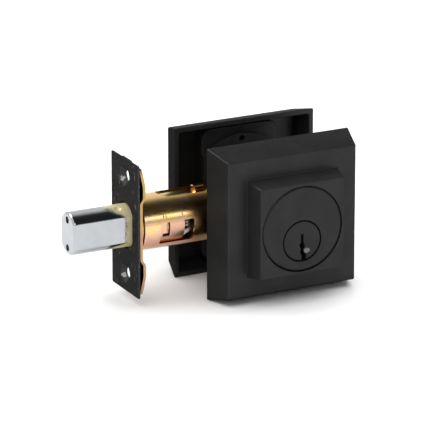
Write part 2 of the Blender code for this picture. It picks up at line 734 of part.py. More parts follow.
def make_rose(name, back, depth, inset, boss_depth, boss_inset, outward):
    """A hollow square cover with a boss, standing from its back rim to the outward side."""
    front = back + outward * depth
    face = front + outward * boss_depth
    floor = front - outward * ROSE_WALL
    slope = inset / depth
    front_half = ROSE_HALF - inset

    def block(block_name, start_half, end_half, start, end):
        if start < end:
            return square_frustum(block_name, start_half, end_half, (start, end))
        return square_frustum(block_name, end_half, start_half, (end, start))

    rose = block(name, ROSE_HALF, front_half, back, front)
    round_edges(rose, ROSE_EDGE)
    boss_root = front - outward * ROSE_WALL / 2
    boss_slope = boss_inset / boss_depth
    root_half = BOSS_HALF + boss_slope * ROSE_WALL / 2
    boss = block(name + "_boss", root_half, BOSS_HALF - boss_inset, boss_root, face)
    round_edges(boss, ROSE_EDGE)
    join(rose, boss)
    beyond = MM
    inner_half = ROSE_HALF - ROSE_WALL
    start_half = inner_half + slope * beyond
    end_half = inner_half - slope * (depth - ROSE_WALL)
    cut(rose, block(name + "_cavity", start_half, end_half, back - outward * beyond, floor))
    return rose


def make_exterior_rose():
    rose = make_rose(
        "exterior_rose",
        EXTERIOR_BACK,
        EXTERIOR_DEPTH,
        EXTERIOR_INSET,
        BOSS_DEPTH,
        BOSS_INSET,
        -1,
    )
    span = (EXTERIOR_FACE - MM, EXTERIOR_BACK)
    cut(rose, cylinder("cylinder_opening", CYLINDER_RADIUS + GAP, span, "y", sides=ROUND))
    return finish_piece(rose, BLACK, "root")


def stack_places():
    return [STACK_FIRST + index * STACK_PITCH for index in range(len(KEY_PIN_LENGTHS))]


def make_cylinder_housing():
    span = (EXTERIOR_FACE, CYLINDER_BACK)
    housing = cylinder("cylinder_housing", CYLINDER_RADIUS, span, "y", sides=ROUND)
    round_edges(housing, 0.4 * MM, 1)
    flange_span = (FLANGE_FRONT, EXTERIOR_BACK)
    join(housing, cylinder("flange", FLANGE_RADIUS, flange_span, "y", sides=ROUND))
    boss_span = (FLANGE_FRONT, REAR_BOSS_END)
    join(housing, cylinder("rear_boss", REAR_BOSS_RADIUS, boss_span, "y", (0, HUB_Z), 32))
    for name, z in (("upper", SCREW_Z), ("lower", -SCREW_Z)):
        span = (POST_START, POST_END)
        join(housing, cylinder("screw_post_" + name, POST_RADIUS, span, "y", (0, z), 20))
    for name, z in (("upper", SCREW_Z), ("lower", -SCREW_Z)):
        span = (SCREW_TIP - GAP, POST_END + MM)
        cut(housing, cylinder("screw_bore_" + name, SCREW_RADIUS + GAP, span, "y", (0, z)))
    bore_span = (EXTERIOR_FACE - MM, REAR_BOSS_END + MM)
    bore_radius = PLUG_RADIUS + PLUG_GAP
    cut(housing, cylinder("plug_bore", bore_radius, bore_span, "y", (0, HUB_Z), ROUND))
    for index, y in enumerate(stack_places(), 1):
        span = (HUB_Z + 2 * MM, CHAMBER_TOP + MM)
        cut(housing, cylinder(f"chamber_{index}", CHAMBER_RADIUS, span, "z", (0, y), 12))
    half = COVER_HALF_WIDTH + GAP
    low = (-half, stack_places()[0] - COVER_OVERLAP, CHAMBER_TOP)
    high = (half, stack_places()[-1] + COVER_OVERLAP, CYLINDER_RADIUS + MM)
    cut(housing, box("cover_groove", low, high))
    finish_piece(housing, BLACK, "root")
    low = (-COVER_HALF_WIDTH, low[1] + GAP, CHAMBER_TOP + GAP)
    high = (COVER_HALF_WIDTH, high[1] - GAP, CHAMBER_TOP + GAP + COVER_THICKNESS)
    finish_piece(box("pin_chamber_cover", low, high), BRASS, "root")


def make_plug():
    span = (PLUG_FRONT, PLUG_BACK)
    plug = cylinder("cylinder_plug", PLUG_RADIUS, span, "y", (0, HUB_Z), ROUND)
    round_edges(plug, 0.3 * MM, 1)
    outline = [(x * MM, HUB_Z + z * MM) for x, z in KEYWAY]
    cut(plug, prism("keyway", [outline], (PLUG_FRONT - MM, KEYWAY_END), "y"))
    for index, y in enumerate(stack_places(), 1):
        span = (HUB_Z + 0.4 * MM, HUB_Z + PLUG_RADIUS + MM)
        cut(plug, cylinder(f"plug_chamber_{index}", CHAMBER_RADIUS, span, "z", (0, y), 12))
    finish_piece(plug, BLACK, "plug")
    cam_span = (PLUG_BACK + GAP, REAR_BOSS_END - 0.1 * MM)
    cam = cylinder("plug_cam", PLUG_RADIUS - 0.6 * MM, cam_span, "y", (0, HUB_Z), 24)
    low = (-TAIL_HALF_WIDTH - GAP, PLUG_BACK, HUB_Z - TAIL_HALF_THICKNESS - GAP)
    high = (TAIL_HALF_WIDTH + GAP, REAR_BOSS_END + MM, HUB_Z + TAIL_HALF_THICKNESS + GAP)
    cut(cam, box("cam_slot", low, high))
    finish_piece(cam, STEEL, "plug")


def make_pin_stacks():
    shear = HUB_Z + PLUG_RADIUS
    driver_start = shear + SHEAR_GAP + GAP
    spring_start = driver_start + DRIVER_LENGTH + GAP
    for index, (y, length) in enumerate(zip(stack_places(), KEY_PIN_LENGTHS), 1):
        top = shear - SHEAR_GAP
        tip_radius = STACK_PIN_RADIUS / 2
        key_pin = cylinder(f"key_pin_{index}", STACK_PIN_RADIUS, (top - length, top), "z", (0, y), 12)
        for vert in key_pin.data.vertices:
            if vert.co.z < top - length / 2:
                vert.co.x *= tip_radius / STACK_PIN_RADIUS
                vert.co.y = y + (vert.co.y - y) * tip_radius / STACK_PIN_RADIUS
        finish_piece(key_pin, BRASS, "plug")
        span = (driver_start, driver_start + DRIVER_LENGTH)
        driver = cylinder(f"driver_pin_{index}", STACK_PIN_RADIUS, span, "z", (0, y), 12)
        finish_piece(driver, BRASS, "root")
        height = CHAMBER_TOP - spring_start
        base = (0, y, spring_start)
        coil(f"pin_spring_{index}", 0.9 * MM, 0.16 * MM, base, height, 3, STEEL, "root")


# The thumbturn side.


def make_interior_rose():
    rose = make_rose(
        "interior_rose",
        INTERIOR_BACK,
        INTERIOR_DEPTH,
        INTERIOR_INSET,
        INTERIOR_BOSS_DEPTH,
        INTERIOR_BOSS_INSET,
        1,
    )
    floor = INTERIOR_BACK + INTERIOR_DEPTH - ROSE_WALL
    hood = rounded_rectangle(HOOD_HALF_WIDTH, HOOD_HALF_HEIGHT, HOOD_CORNER, 4)
    join(rose, prism("hood", [hood], (HOOD_FACE, floor + ROSE_WALL / 2), "y"))
    for name, z in (("upper", SCREW_Z), ("lower", -SCREW_Z)):
        span = (HOOD_FACE - MM, MOUNT_PLATE_BACK + GAP + SCREW_HEAD_HEIGHT + 0.8 * MM)
        radius = SCREW_HEAD_RADIUS + 0.6 * MM
        cut(rose, cylinder("head_pocket_" + name, radius, span, "y", (0, z), 20))
    shaft_span = (HOOD_FACE - MM, INTERIOR_FACE + MM)
    shaft_radius = TURN_SHAFT_RADIUS + GAP
    cut(rose, cylinder("shaft_bore", shaft_radius, shaft_span, "y", (0, HUB_Z), 24))
    middle = (MOUNT_PLATE_FRONT + MOUNT_PLATE_BACK) / 2
    set_span = (-ROSE_HALF - MM, -MOUNT_PLATE_RADIUS + MM)
    cut(rose, cylinder("set_screw_bore", SET_SCREW_RADIUS + GAP, set_span, "z", (0, middle)))
    for name, side in (("upper", 1), ("lower", -1)):
        edges = sorted((side * (ROSE_HALF - ROSE_WALL - MM), side * (ROSE_HALF + MM)))
        cut(rose, cylinder("pry_notch_" + name, PRY_NOTCH_RADIUS, edges, "z", (0, INTERIOR_BACK), 12))
    return finish_piece(rose, BLACK, "interior")


def make_mounting_plate():
    outlines = [double_d(MOUNT_PLATE_RADIUS, MOUNT_PLATE_HALF_WIDTH)]
    outlines.append(circle((0, HUB_Z), TURN_SHAFT_RADIUS + 0.6 * MM, 24))
    for side in (1, -1):
        outlines.append(circle((0, side * SCREW_Z), SCREW_RADIUS + GAP))
        outlines.append(circle((0, side * LOCATING_HOLE_Z), LOCATING_HOLE_RADIUS, 12))
    span = (MOUNT_PLATE_FRONT, MOUNT_PLATE_BACK)
    return finish_piece(prism("mounting_plate", outlines, span, "y"), BLACK, "interior")


def make_mounting_screws():
    head_start = MOUNT_PLATE_BACK + GAP
    head_end = head_start + SCREW_HEAD_HEIGHT
    profile = [
        (SCREW_HEAD_RADIUS * 0.6, head_end),
        (SCREW_HEAD_RADIUS * 0.9, head_end - 0.6 * MM),
        (SCREW_HEAD_RADIUS, head_start + 0.8 * MM),
        (SCREW_HEAD_RADIUS, head_start),
        (SCREW_RADIUS, head_start),
        (SCREW_RADIUS, SCREW_TIP + 0.8 * MM),
        (SCREW_RADIUS - 0.6 * MM, SCREW_TIP),
    ]
    for name, z in (("upper", SCREW_Z), ("lower", -SCREW_Z)):
        turned("mounting_screw_" + name, profile, (0, z), 16, STEEL, "interior")


def make_set_screw():
    middle = (MOUNT_PLATE_FRONT + MOUNT_PLATE_BACK) / 2
    span = (-ROSE_HALF + 1.2 * MM, -MOUNT_PLATE_RADIUS - GAP)
    screw = cylinder("rose_set_screw", SET_SCREW_RADIUS, span, "z", (0, middle), 12)
    return finish_piece(screw, HARD_STEEL, "interior")


def make_thumbturn():
    centre = (0, HUB_Z)
    low = (-TURN_HALF_LENGTH, TURN_START, HUB_Z - TURN_HALF_THICKNESS)
    high = (TURN_HALF_LENGTH, TURN_END, HUB_Z + TURN_HALF_THICKNESS)
    turn = box("thumbturn", low, high)
    round_edges(turn, 1.2 * MM)
    neck_span = (TURN_NECK_START, TURN_NECK_END)
    join(turn, cylinder("turn_neck", TURN_NECK_RADIUS, neck_span, "y", centre, 28))
    shaft_span = (TURN_SHAFT_START, TURN_NECK_START + MM)
    join(turn, cylinder("turn_shaft", TURN_SHAFT_RADIUS, shaft_span, "y", centre, 24))
    low = (-TAIL_HALF_WIDTH - GAP, TURN_SHAFT_START - MM, HUB_Z - TAIL_HALF_THICKNESS - GAP)
    high = (TAIL_HALF_WIDTH + GAP, TURN_SOCKET_END, HUB_Z + TAIL_HALF_THICKNESS + GAP)
    cut(turn, box("turn_socket", low, high))
    finish_piece(turn, BLACK, "thumbturn")
    rings = {
        "thumbturn_washer": (7.6 * MM, INTERIOR_FACE + GAP, TURN_NECK_START - GAP, NYLON),
        "thumbturn_clip": (6.5 * MM, 15.9 * MM, MOUNT_PLATE_FRONT - GAP, STEEL),
    }
    for name, (radius, start, end, finish) in rings.items():
        walls = [circle(centre, radius, 24), circle(centre, TURN_SHAFT_RADIUS + GAP, 24)]
        finish_piece(prism(name, walls, (start, end), "y"), finish, "thumbturn")


def make_bodies():
    """One empty for each body, on its joint's axis."""
    places = {
        "root": (0, 0, 0),
        "latch_front": (FACE_X, 0, 0),
        "bolt": (BOLT_TIP, 0, 0),
        "drawbar": (DRAWBAR_TIP, 0, 0),
        "hub": (0, 0, HUB_Z),
        "plug": (0, EXTERIOR_FACE, HUB_Z),
        "interior": (0, INTERIOR_BACK, 0),
        "thumbturn": (0, INTERIOR_FACE, HUB_Z),
    }
    made = {}
    for name, place in places.items():
        empty = bpy.data.objects.new(name + "_frame", None)
        empty.location = place
        part_collection.objects.link(empty)
        made[name] = empty
    for child, parent in (("bolt", "latch_front"), ("thumbturn", "interior")):
        bpy.context.view_layer.update()
        made[child].parent = made[parent]
        made[child].matrix_parent_inverse = made[parent].matrix_world.inverted()
    bpy.context.view_layer.update()
    return made


clear_scene()
part_collection = new_collection("deadbolt_door_lock")
cutter_collection = new_collection("cutters")
bodies = make_bodies()

make_faceplate()
make_backing_plate()
make_bolt_guide()
make_bolt_tube()
make_bolt()
make_inner_sleeve()
make_case_plates()
make_case_spacers()
make_hub()
make_tailpiece()
make_drawbar()
make_detent()
make_exterior_rose()
make_cylinder_housing()
make_plug()
make_pin_stacks()
make_interior_rose()
make_mounting_plate()
make_mounting_screws()
make_set_screw()
make_thumbturn()
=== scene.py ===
"""Looks for the single-cylinder deadbolt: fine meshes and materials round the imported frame.

Everything is in metres in the frame's own axes: +X into the door from its edge, -Y the keyed
side, +Y the thumbturn side and +Z up.
"""

import math

import bmesh
import bpy
from mathutils import Matrix, Vector


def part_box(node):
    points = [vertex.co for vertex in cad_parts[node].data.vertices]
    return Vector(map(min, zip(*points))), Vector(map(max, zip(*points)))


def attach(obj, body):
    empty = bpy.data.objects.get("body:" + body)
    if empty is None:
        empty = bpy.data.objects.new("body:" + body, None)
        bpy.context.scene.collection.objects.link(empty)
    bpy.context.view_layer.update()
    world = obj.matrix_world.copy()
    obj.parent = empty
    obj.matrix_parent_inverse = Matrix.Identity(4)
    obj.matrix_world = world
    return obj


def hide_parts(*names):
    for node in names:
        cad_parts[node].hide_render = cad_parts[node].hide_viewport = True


MM = 0.001
SHARP = math.radians(35)
FACE_SCREW_Z = 21 * MM
FINE_ROUND = 96
ROUND = 48
NEAR_AXIS = 0.001 * MM  # where a turned solid's profile starts, just off its own axis

SIDES = {"upper": 1, "lower": -1}


# Materials.


NOISE_LOW = 0.3  # noise seldom leaves these two values
NOISE_HIGH = 0.7


def fill_ramp(node, stops):
    elements = node.color_ramp.elements
    while len(elements) < len(stops):
        elements.new(1.0)
    for element, (position, colour) in zip(elements, stops):
        element.position = position
        element.color = (*colour, 1)


class Finish:
    """A material being built: each call adds a node and joins it to the ones before."""

    def __init__(self, name):
        self.material = bpy.data.materials.new(name)
        self.material.use_nodes = True
        self.tree = self.material.node_tree
        self.shader = self.tree.nodes["Principled BSDF"]
        self.place = self.add("ShaderNodeTexCoord").outputs["Object"]
        self.colour = None

    def add(self, kind, inputs=None, **settings):
        node = self.tree.nodes.new(kind)
        for name, value in settings.items():
            setattr(node, name, value)
        for name, value in (inputs or {}).items():
            self.put(node.inputs[name], value)
        return node

    def put(self, socket, value):
        if isinstance(value, bpy.types.NodeSocket):
            self.tree.links.new(value, socket)
        else:
            socket.default_value = value

    def set(self, **values):
        for name, value in values.items():
            self.put(self.shader.inputs[name.replace("_", " ")], value)

    def stretched(self, stretch):
        """The piece's own coordinates, scaled differently along each axis."""
        mapping = self.add("ShaderNodeMapping", {"Vector": self.place, "Scale": stretch})
        return mapping.outputs["Vector"]

    def noise(self, feature, detail=3.0, stretch=(1, 1, 1), roughness=0.5):
        """Noise from 0 to 1 whose blotches are about the given size across."""
        inputs = {
            "Vector": self.stretched(stretch),
            "Scale": 1 / feature,
            "Detail": detail,
            "Roughness": roughness,
        }
        return self.add("ShaderNodeTexNoise", inputs).outputs["Fac"]

    def math(self, operation, first, second=0.0):
        node = self.add("ShaderNodeMath", operation=operation)
        self.put(node.inputs[0], first)
        self.put(node.inputs[1], second)
        return node.outputs["Value"]

    def between(self, value, low, high, start=0.0, end=1.0, smooth=False):
        """Turns low..high into start..end, clamped."""
        inputs = {"Value": value, "From Min": low, "From Max": high, "To Min": start, "To Max": end}
        kind = "SMOOTHSTEP" if smooth else "LINEAR"
        node = self.add("ShaderNodeMapRange", inputs, interpolation_type=kind)
        return node.outputs["Result"]

    def drift(self, noise, start, end):
        """Noise turned into a value that wanders from start to end."""
        return self.between(noise, NOISE_LOW, NOISE_HIGH, start, end)

    def ramp(self, value, stops):
        node = self.add("ShaderNodeValToRGB", {"Fac": value})
        fill_ramp(node, stops)
        return node.outputs["Color"]

    def clouded(self, noise, dark, light):
        """Noise turned into a colour that wanders from dark to light."""
        return self.ramp(noise, ((NOISE_LOW, dark), (NOISE_HIGH, light)))

    def mix(self, factor, first, second):
        node = self.add("ShaderNodeMix", data_type="RGBA")
        self.put(node.inputs["Factor"], factor)
        self.put(node.inputs["A"], first)
        self.put(node.inputs["B"], second)
        return node.outputs["Result"]

    def axis(self, name):
        split = self.add("ShaderNodeSeparateXYZ", {"Vector": self.place})
        return split.outputs[name]

    def bump(self, height, strength, distance):
        inputs = {"Height": height, "Strength": strength, "Distance": distance}
        self.set(Normal=self.add("ShaderNodeBump", inputs).outputs["Normal"])


EDGE_TINT = (0.08, 0.08, 0.08, 1)  # keeps the black finishes dark when seen edge-on
SHEEN = 0.55  # how much of a black finish's light is mirrored; the rest is scattered


def black_finish(name, tone, roughness):
    """A dark satin metal: colour and gloss drift a little from place to place."""
    finish = Finish(name)
    cloud = finish.noise(9 * MM)
    finish.colour = finish.clouded(cloud, [tone * 0.92] * 3, [tone * 1.10] * 3)
    finish.set(Base_Color=finish.colour, Metallic=SHEEN, Specular_Tint=EDGE_TINT, Specular_IOR_Level=0.0)
    finish.set(Roughness=finish.drift(finish.noise(3 * MM), roughness - 0.03, roughness + 0.03))
    return finish


def orange_peel(finish):
    """The fine pebbling of a sprayed coat."""
    finish.bump(finish.noise(0.35 * MM, 2), 0.18, 0.03 * MM)


def powder_black():
    """Satin black powder coat with a fine orange peel."""
    finish = black_finish("satin_black", 0.032, 0.34)
    orange_peel(finish)
    return finish.material


def turned_black():
    """Black finish over a turned face: faint rings about the Y axis of the cylinder."""
    finish = black_finish("turned_black", 0.030, 0.31)
    rings = finish.add(
        "ShaderNodeTexWave",
        {"Vector": finish.stretched((1, 0, 1)), "Scale": 1 / (1.4 * MM), "Distortion": 0.4},
        wave_type="RINGS",
        rings_direction="SPHERICAL",
    ).outputs["Fac"]
    finish.bump(rings, 0.08, 0.02 * MM)
    return finish.material


# The lighter spot low in each dimple is a painted glint: it stands where the cup's wall would catch the
# light.
GLINT_PLACE = (3.0 * MM, -1.9 * MM)  # (y, z) of the painted glint, from the middle of each dimple
GLINT_SIZE = 1.2 * MM
SCUFF_AND_GLINT_COLOUR = (0.42, 0.42, 0.40, 1)


def scuffed_black_with_glint():
    """The black of the edge plate: light scuffs, and a painted glint low in each screw dimple, a lighter
    patch where the cup's wall catches the light.
    """
    finish = black_finish("scuffed_black_with_glint", 0.042, 0.36)
    away = finish.math("SUBTRACT", finish.axis("Y"), GLINT_PLACE[0])
    rise = finish.math("ABSOLUTE", finish.math("SUBTRACT", finish.axis("Z"), GLINT_PLACE[1]))
    off = finish.math("SUBTRACT", rise, FACE_SCREW_Z)
    squares = [finish.math("POWER", distance, 2.0) for distance in (away, off)]
    reach = finish.math("SQRT", finish.math("ADD", *squares))
    ragged = finish.math("ADD", reach, finish.drift(finish.noise(0.9 * MM), -0.5 * MM, 0.5 * MM))
    # Painted glint: a lighter patch low in each dimple.
    painted_glint = finish.between(ragged, 0.6 * GLINT_SIZE, GLINT_SIZE, 0.85, 0.0, True)
    scuffs = finish.between(finish.noise(3.2 * MM, 5, (1, 1.6, 0.8), 0.65), 0.58, 0.68, 0.0, 0.22, True)
    # The real scuffs and the painted glint share one lighter colour.
    scuffs_and_glint = finish.math("MAXIMUM", painted_glint, scuffs)
    finish.set(Base_Color=finish.mix(scuffs_and_glint, finish.colour, SCUFF_AND_GLINT_COLOUR))
    orange_peel(finish)
    return finish.material


GOLD = (
    (0.28, (0.80, 0.52, 0.30)),
    (0.40, (0.80, 0.44, 0.34)),
    (0.50, (0.82, 0.52, 0.33)),
    (0.62, (0.82, 0.56, 0.22)),
    (0.76, (0.84, 0.60, 0.22)),
)
AMBER = ((0.40, 0.19, 0.05), (0.58, 0.31, 0.11))
DARKENED_TONE = (0.06, 0.045, 0.02, 1)


def yellow_zinc(name, warmth=0.0, shade=1.0):
    """Chromated zinc: yellow on top, peach and pink down the side, brown towards the case.

    Warmth is how far the outboard end is browned, and a shade under 1 darkens the whole towards a near-black
    brown.
    """
    finish = Finish(name)
    patches = finish.noise(6 * MM, 2.0, (0.8, 1, 1), 0.4)
    lift = finish.between(finish.axis("Z"), -8 * MM, 11 * MM, -0.13, 0.17)
    gold = finish.ramp(finish.math("ADD", patches, lift), GOLD)
    amber = finish.clouded(patches, *AMBER)
    edge = finish.math("ADD", finish.axis("X"), finish.drift(patches, -2 * MM, 2 * MM))
    inboard = finish.between(edge, -40 * MM, -34 * MM, warmth, 0.8, True)
    tint = finish.mix(inboard, gold, amber)
    finish.set(Base_Color=finish.mix(shade, DARKENED_TONE, tint), Metallic=1.0)
    drawn = finish.noise(0.5 * MM, 3, (0.25, 1, 1))
    finish.set(Roughness=finish.drift(drawn, 0.18, 0.27))
    pitted = finish.noise(1.2 * MM, 4)
    finish.bump(finish.math("ADD", drawn, pitted), 0.10, 0.04 * MM)
    return finish.material


BRASS_EDGE = -64.9 * MM
BRASS_LEAN_UP = 1.9  # how far out the brass runs for each step up the upper arc
BRASS_LEAN_DOWN = 3.3
BOLT_FLAT = 5.4 * MM


def bolt_chrome():
    """Satin chrome that gives way to brass near the faceplate, further out on the arcs."""
    finish = Finish("satin_chrome")
    height = finish.axis("Z")
    depth = finish.math("MULTIPLY", height, -1.0)
    above = finish.math("MAXIMUM", finish.math("SUBTRACT", height, BOLT_FLAT), 0.0)
    below = finish.math("MAXIMUM", finish.math("SUBTRACT", depth, BOLT_FLAT), 0.0)
    lean_up = finish.math("MULTIPLY", above, BRASS_LEAN_UP)
    lean = finish.math("ADD", lean_up, finish.math("MULTIPLY", below, BRASS_LEAN_DOWN))
    wander = finish.drift(finish.noise(2.5 * MM), -0.6 * MM, 0.6 * MM)
    reach = finish.math("ADD", finish.math("ADD", finish.axis("X"), lean), wander)
    fade = finish.math("ADD", finish.math("MULTIPLY", lean, 0.35), 1.0 * MM)
    start = finish.math("SUBTRACT", BRASS_EDGE, fade)
    root = finish.between(reach, start, finish.math("ADD", BRASS_EDGE, fade), smooth=True)
    cloud = finish.noise(4 * MM)
    chrome = finish.clouded(cloud, (0.40, 0.415, 0.43), (0.44, 0.45, 0.465))
    brass = finish.clouded(cloud, (0.72, 0.62, 0.34), (0.80, 0.71, 0.43))
    finish.set(Base_Color=finish.mix(root, chrome, brass))
    finish.set(Metallic=finish.between(root, 0.0, 1.0, 1.0, 0.45))
    drawn = finish.noise(0.35 * MM, 3, (0.05, 1, 1))
    satin = finish.drift(drawn, 0.12, 0.18)
    finish.set(Roughness=finish.math("ADD", satin, finish.math("MULTIPLY", root, 0.3)))
    finish.bump(drawn, 0.05, 0.03 * MM)
    return finish.material


def plain_metal(name, dark, light, roughness):
    """A metal with soft clouding and fine tool marks."""
    finish = Finish(name)
    colour = finish.clouded(finish.noise(4 * MM), dark, light)
    marks = finish.noise(0.4 * MM, 3)
    finish.set(Base_Color=colour, Metallic=1.0)
    finish.set(Roughness=finish.drift(marks, roughness - 0.05, roughness + 0.05))
    finish.bump(marks, 0.12, 0.04 * MM)
    return finish.material


THREAD_PITCH = 0.8 * MM
WAVE_LENGTH = 3.1  # of a wave texture, in lengths of its scale


def threaded_steel():
    """Zinc-plated steel with a rolled thread along Y, painted darker in the thread's roots as shade."""
    finish = Finish("threaded_steel")
    thread_height_and_shade = finish.add(
        "ShaderNodeTexWave",
        {"Vector": finish.place, "Scale": 1 / (WAVE_LENGTH * THREAD_PITCH)},
        wave_type="BANDS",
        bands_direction="Y",
    ).outputs["Fac"]
    # Painted shade: the colour is darker in the thread's roots and lighter on its crests.
    finish.set(Base_Color=finish.ramp(thread_height_and_shade, ((0.1, (0.30, 0.30, 0.31)), (0.8, (0.62, 0.63, 0.65)))))
    finish.set(Metallic=1.0, Roughness=finish.between(thread_height_and_shade, 0.0, 1.0, 0.42, 0.26))
    finish.bump(thread_height_and_shade, 0.9, 0.25 * MM)
    return finish.material


def nylon():
    finish = Finish("white_nylon")
    cloud = finish.noise(2 * MM)
    finish.set(Base_Color=finish.clouded(cloud, (0.70, 0.70, 0.66), (0.78, 0.78, 0.75)))
    finish.set(Roughness=0.5)
    finish.bump(cloud, 0.05, 0.05 * MM)
    return finish.material


def pale_floor():
    finish = Finish("pale_floor")
    cloud = finish.noise(90 * MM)
    finish.set(Base_Color=finish.clouded(cloud, (0.90, 0.90, 0.90), (0.92, 0.92, 0.92)))
    finish.set(Roughness=0.9)
    finish.bump(cloud, 0.02, 1 * MM)
    return finish.material


# Outlines.


def arc(centre, radius, start, end, steps):
    """Points on an arc, ends included. Angles are in radians."""
    points = []
    for step in range(steps + 1):
        angle = start + (end - start) * step / steps
        points.append((centre[0] + radius * math.cos(angle), centre[1] + radius * math.sin(angle)))
    return points


def rounded(outline, radius, steps=4):
    """The outline with each corner turned into an arc of about the given radius."""
    points = []
    for index, corner in enumerate(outline):
        here = Vector(corner)
        back = Vector(outline[index - 1]) - here
        on = Vector(outline[(index + 1) % len(outline)]) - here
        reach = min(radius, back.length * 0.45, on.length * 0.45)
        start = here + back.normalized() * reach
        end = here + on.normalized() * reach
        for step in range(steps + 1):
            t = step / steps
            points.append(tuple(start * (1 - t) ** 2 + here * 2 * t * (1 - t) + end * t**2))
    return points


def rectangle(low, high):
    return [(low[0], low[1]), (high[0], low[1]), (high[0], high[1]), (low[0], high[1])]


def shifted(points, shift):
    return [(u + shift[0], v + shift[1]) for u, v in points]


def bolt_outline(half_width, flat, top, steps=20):
    """The bolt's section in (y, z): two flats joined by arcs above and below."""
    rise = top - flat
    radius = (rise**2 + half_width**2) / (2 * rise)
    spread = math.asin(half_width / radius)
    middle = flat + rise - radius
    quarter = math.pi / 2
    upper = arc((0, middle), radius, quarter - spread, quarter + spread, steps)
    lower = arc((0, -middle), radius, -quarter - spread, -quarter + spread, steps)
    return upper + lower


def square_loop(half, corner, steps=5):
    points = []
    for index, (side, level) in enumerate(((1, 1), (-1, 1), (-1, -1), (1, -1))):
        centre = (side * (half - corner), level * (half - corner))
        start = index * math.pi / 2
        points += arc(centre, corner, start, start + math.pi / 2, steps)
    return points


def rod(radius, start, end):
    """The profile of a plain turned bar."""
    return [(radius, start), (radius, end)]


def axis_through(node):
    """Where the long axis of a round CAD node meets the plane across it."""
    low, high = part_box(node)
    return (0, (low.z + high.z) / 2)


# Meshes.


def in_space(axis, along, u, v):
    """The point at (u, v) on the plane across an axis, at a distance along it."""
    return {"x": (along, u, v), "y": (u, along, v), "z": (u, v, along)}[axis]


def mesh_object(name, points, faces):
    mesh = bpy.data.meshes.new(name)
    mesh.from_pydata([tuple(point) for point in points], [], faces)
    shape = bmesh.new()
    shape.from_mesh(mesh)
    bmesh.ops.recalc_face_normals(shape, faces=shape.faces)
    shape.to_mesh(mesh)
    shape.free()
    obj = bpy.data.objects.new(name, mesh)
    bpy.context.scene.collection.objects.link(obj)
    return obj


def loft(name, axis, loops):
    """A closed skin through (along, outline) loops with equal counts of points."""
    count = len(loops[0][1])
    points = [in_space(axis, along, u, v) for along, outline in loops for u, v in outline]
    faces = []
    for level in range(len(loops) - 1):
        base = level * count
        for index in range(count):
            after = (index + 1) % count
            faces.append((base + index, base + after, base + count + after, base + count + index))
    last = (len(loops) - 1) * count
    faces.append(tuple(range(count)))
    faces.append(tuple(range(last, last + count)))
    return mesh_object(name, points, faces)


def prism(name, outline, span, axis):
    return loft(name, axis, [(span[0], outline), (span[1], outline)])


def box(name, low, high):
    return prism(name, rectangle(low[1:], high[1:]), (low[0], high[0]), "x")


def revolve(name, profile, axis, centre=(0, 0), steps=ROUND, hollow=False):
    """A turned solid. The profile holds (radius, along) pairs; a hollow one is a closed ring."""
    points = []
    for step in range(steps):
        angle = 2 * math.pi * step / steps
        for radius, along in profile:
            u = centre[0] + radius * math.cos(angle)
            v = centre[1] + radius * math.sin(angle)
            points.append(in_space(axis, along, u, v))
    count = len(profile)
    links = count if hollow else count - 1
    faces = []
    for step in range(steps):
        here = step * count
        there = (step + 1) % steps * count
        for index in range(links):
            after = (index + 1) % count
            faces.append((here + index, here + after, there + after, there + index))
    if not hollow:
        faces.append(tuple(step * count for step in range(steps)))
        faces.append(tuple(step * count + count - 1 for step in range(steps)))
    return mesh_object(name, points, faces)


def settle(obj):
    """Applies an object's modifiers to its mesh."""
    graph = bpy.context.evaluated_depsgraph_get()
    mesh = bpy.data.meshes.new_from_object(obj.evaluated_get(graph))
    obj.modifiers.clear()
    obj.data = mesh
    return obj


def combine(obj, other, operation):
    step = obj.modifiers.new(other.name, "BOOLEAN")
    step.operation = operation
    step.object = other
    step.solver = "EXACT"
    settle(obj)
    bpy.data.objects.remove(other, do_unlink=True)
    return obj


def cut(obj, other):
    return combine(obj, other, "DIFFERENCE")


def join(obj, other):
    return combine(obj, other, "UNION")


def soften(obj, width, angle=40, segments=2):
    """Rounds every edge sharper than the angle, in degrees."""
    step = obj.modifiers.new("soft_edges", "BEVEL")
    step.width = width
    step.segments = segments
    step.limit_method = "ANGLE"
    step.angle_limit = math.radians(angle)
    return settle(obj)


def finished(obj, material, body, slot, *nodes):
    """Shades a piece, gives it its material and lets it stand for its CAD nodes."""
    obj.data.materials.clear()
    obj.data.materials.append(material)
    obj.data.shade_smooth()
    obj.data.set_sharp_from_angle(angle=SHARP)
    weights = obj.modifiers.new("flat_faces_stay_flat", "WEIGHTED_NORMAL")
    weights.keep_sharp = True
    weights.weight = 100
    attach(obj, body)
    if nodes:
        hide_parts(*nodes)
    return obj


# The latch.

HUB_Z = -5.4 * MM
FACEPLATE_THICKNESS = 0.8 * MM
CUP_WALL = 0.55 * MM
BACKING_THICKNESS = 1.15 * MM
BACKING_HOLE_RADIUS = 4.95 * MM
PIN_HOLE_RADIUS = 1.45 * MM
STAKE_MARK = (-67.4 * MM, -2.9 * MM)  # (x, y) of the dent near the bolt's root
STAKE_LEAN = math.radians(22)


def dimple_profile(front, growth):
    """A stamped cup that curves in from the face to the screw hole."""
    steps = ((4.6, -0.2), (4.45, 0.0), (4.15, 0.14), (3.85, 0.45), (2.4, 1.6), (2.1, 1.85), (2.0, 2.2))
    return [(radius * MM + growth, front + depth * MM) for radius, depth in steps]


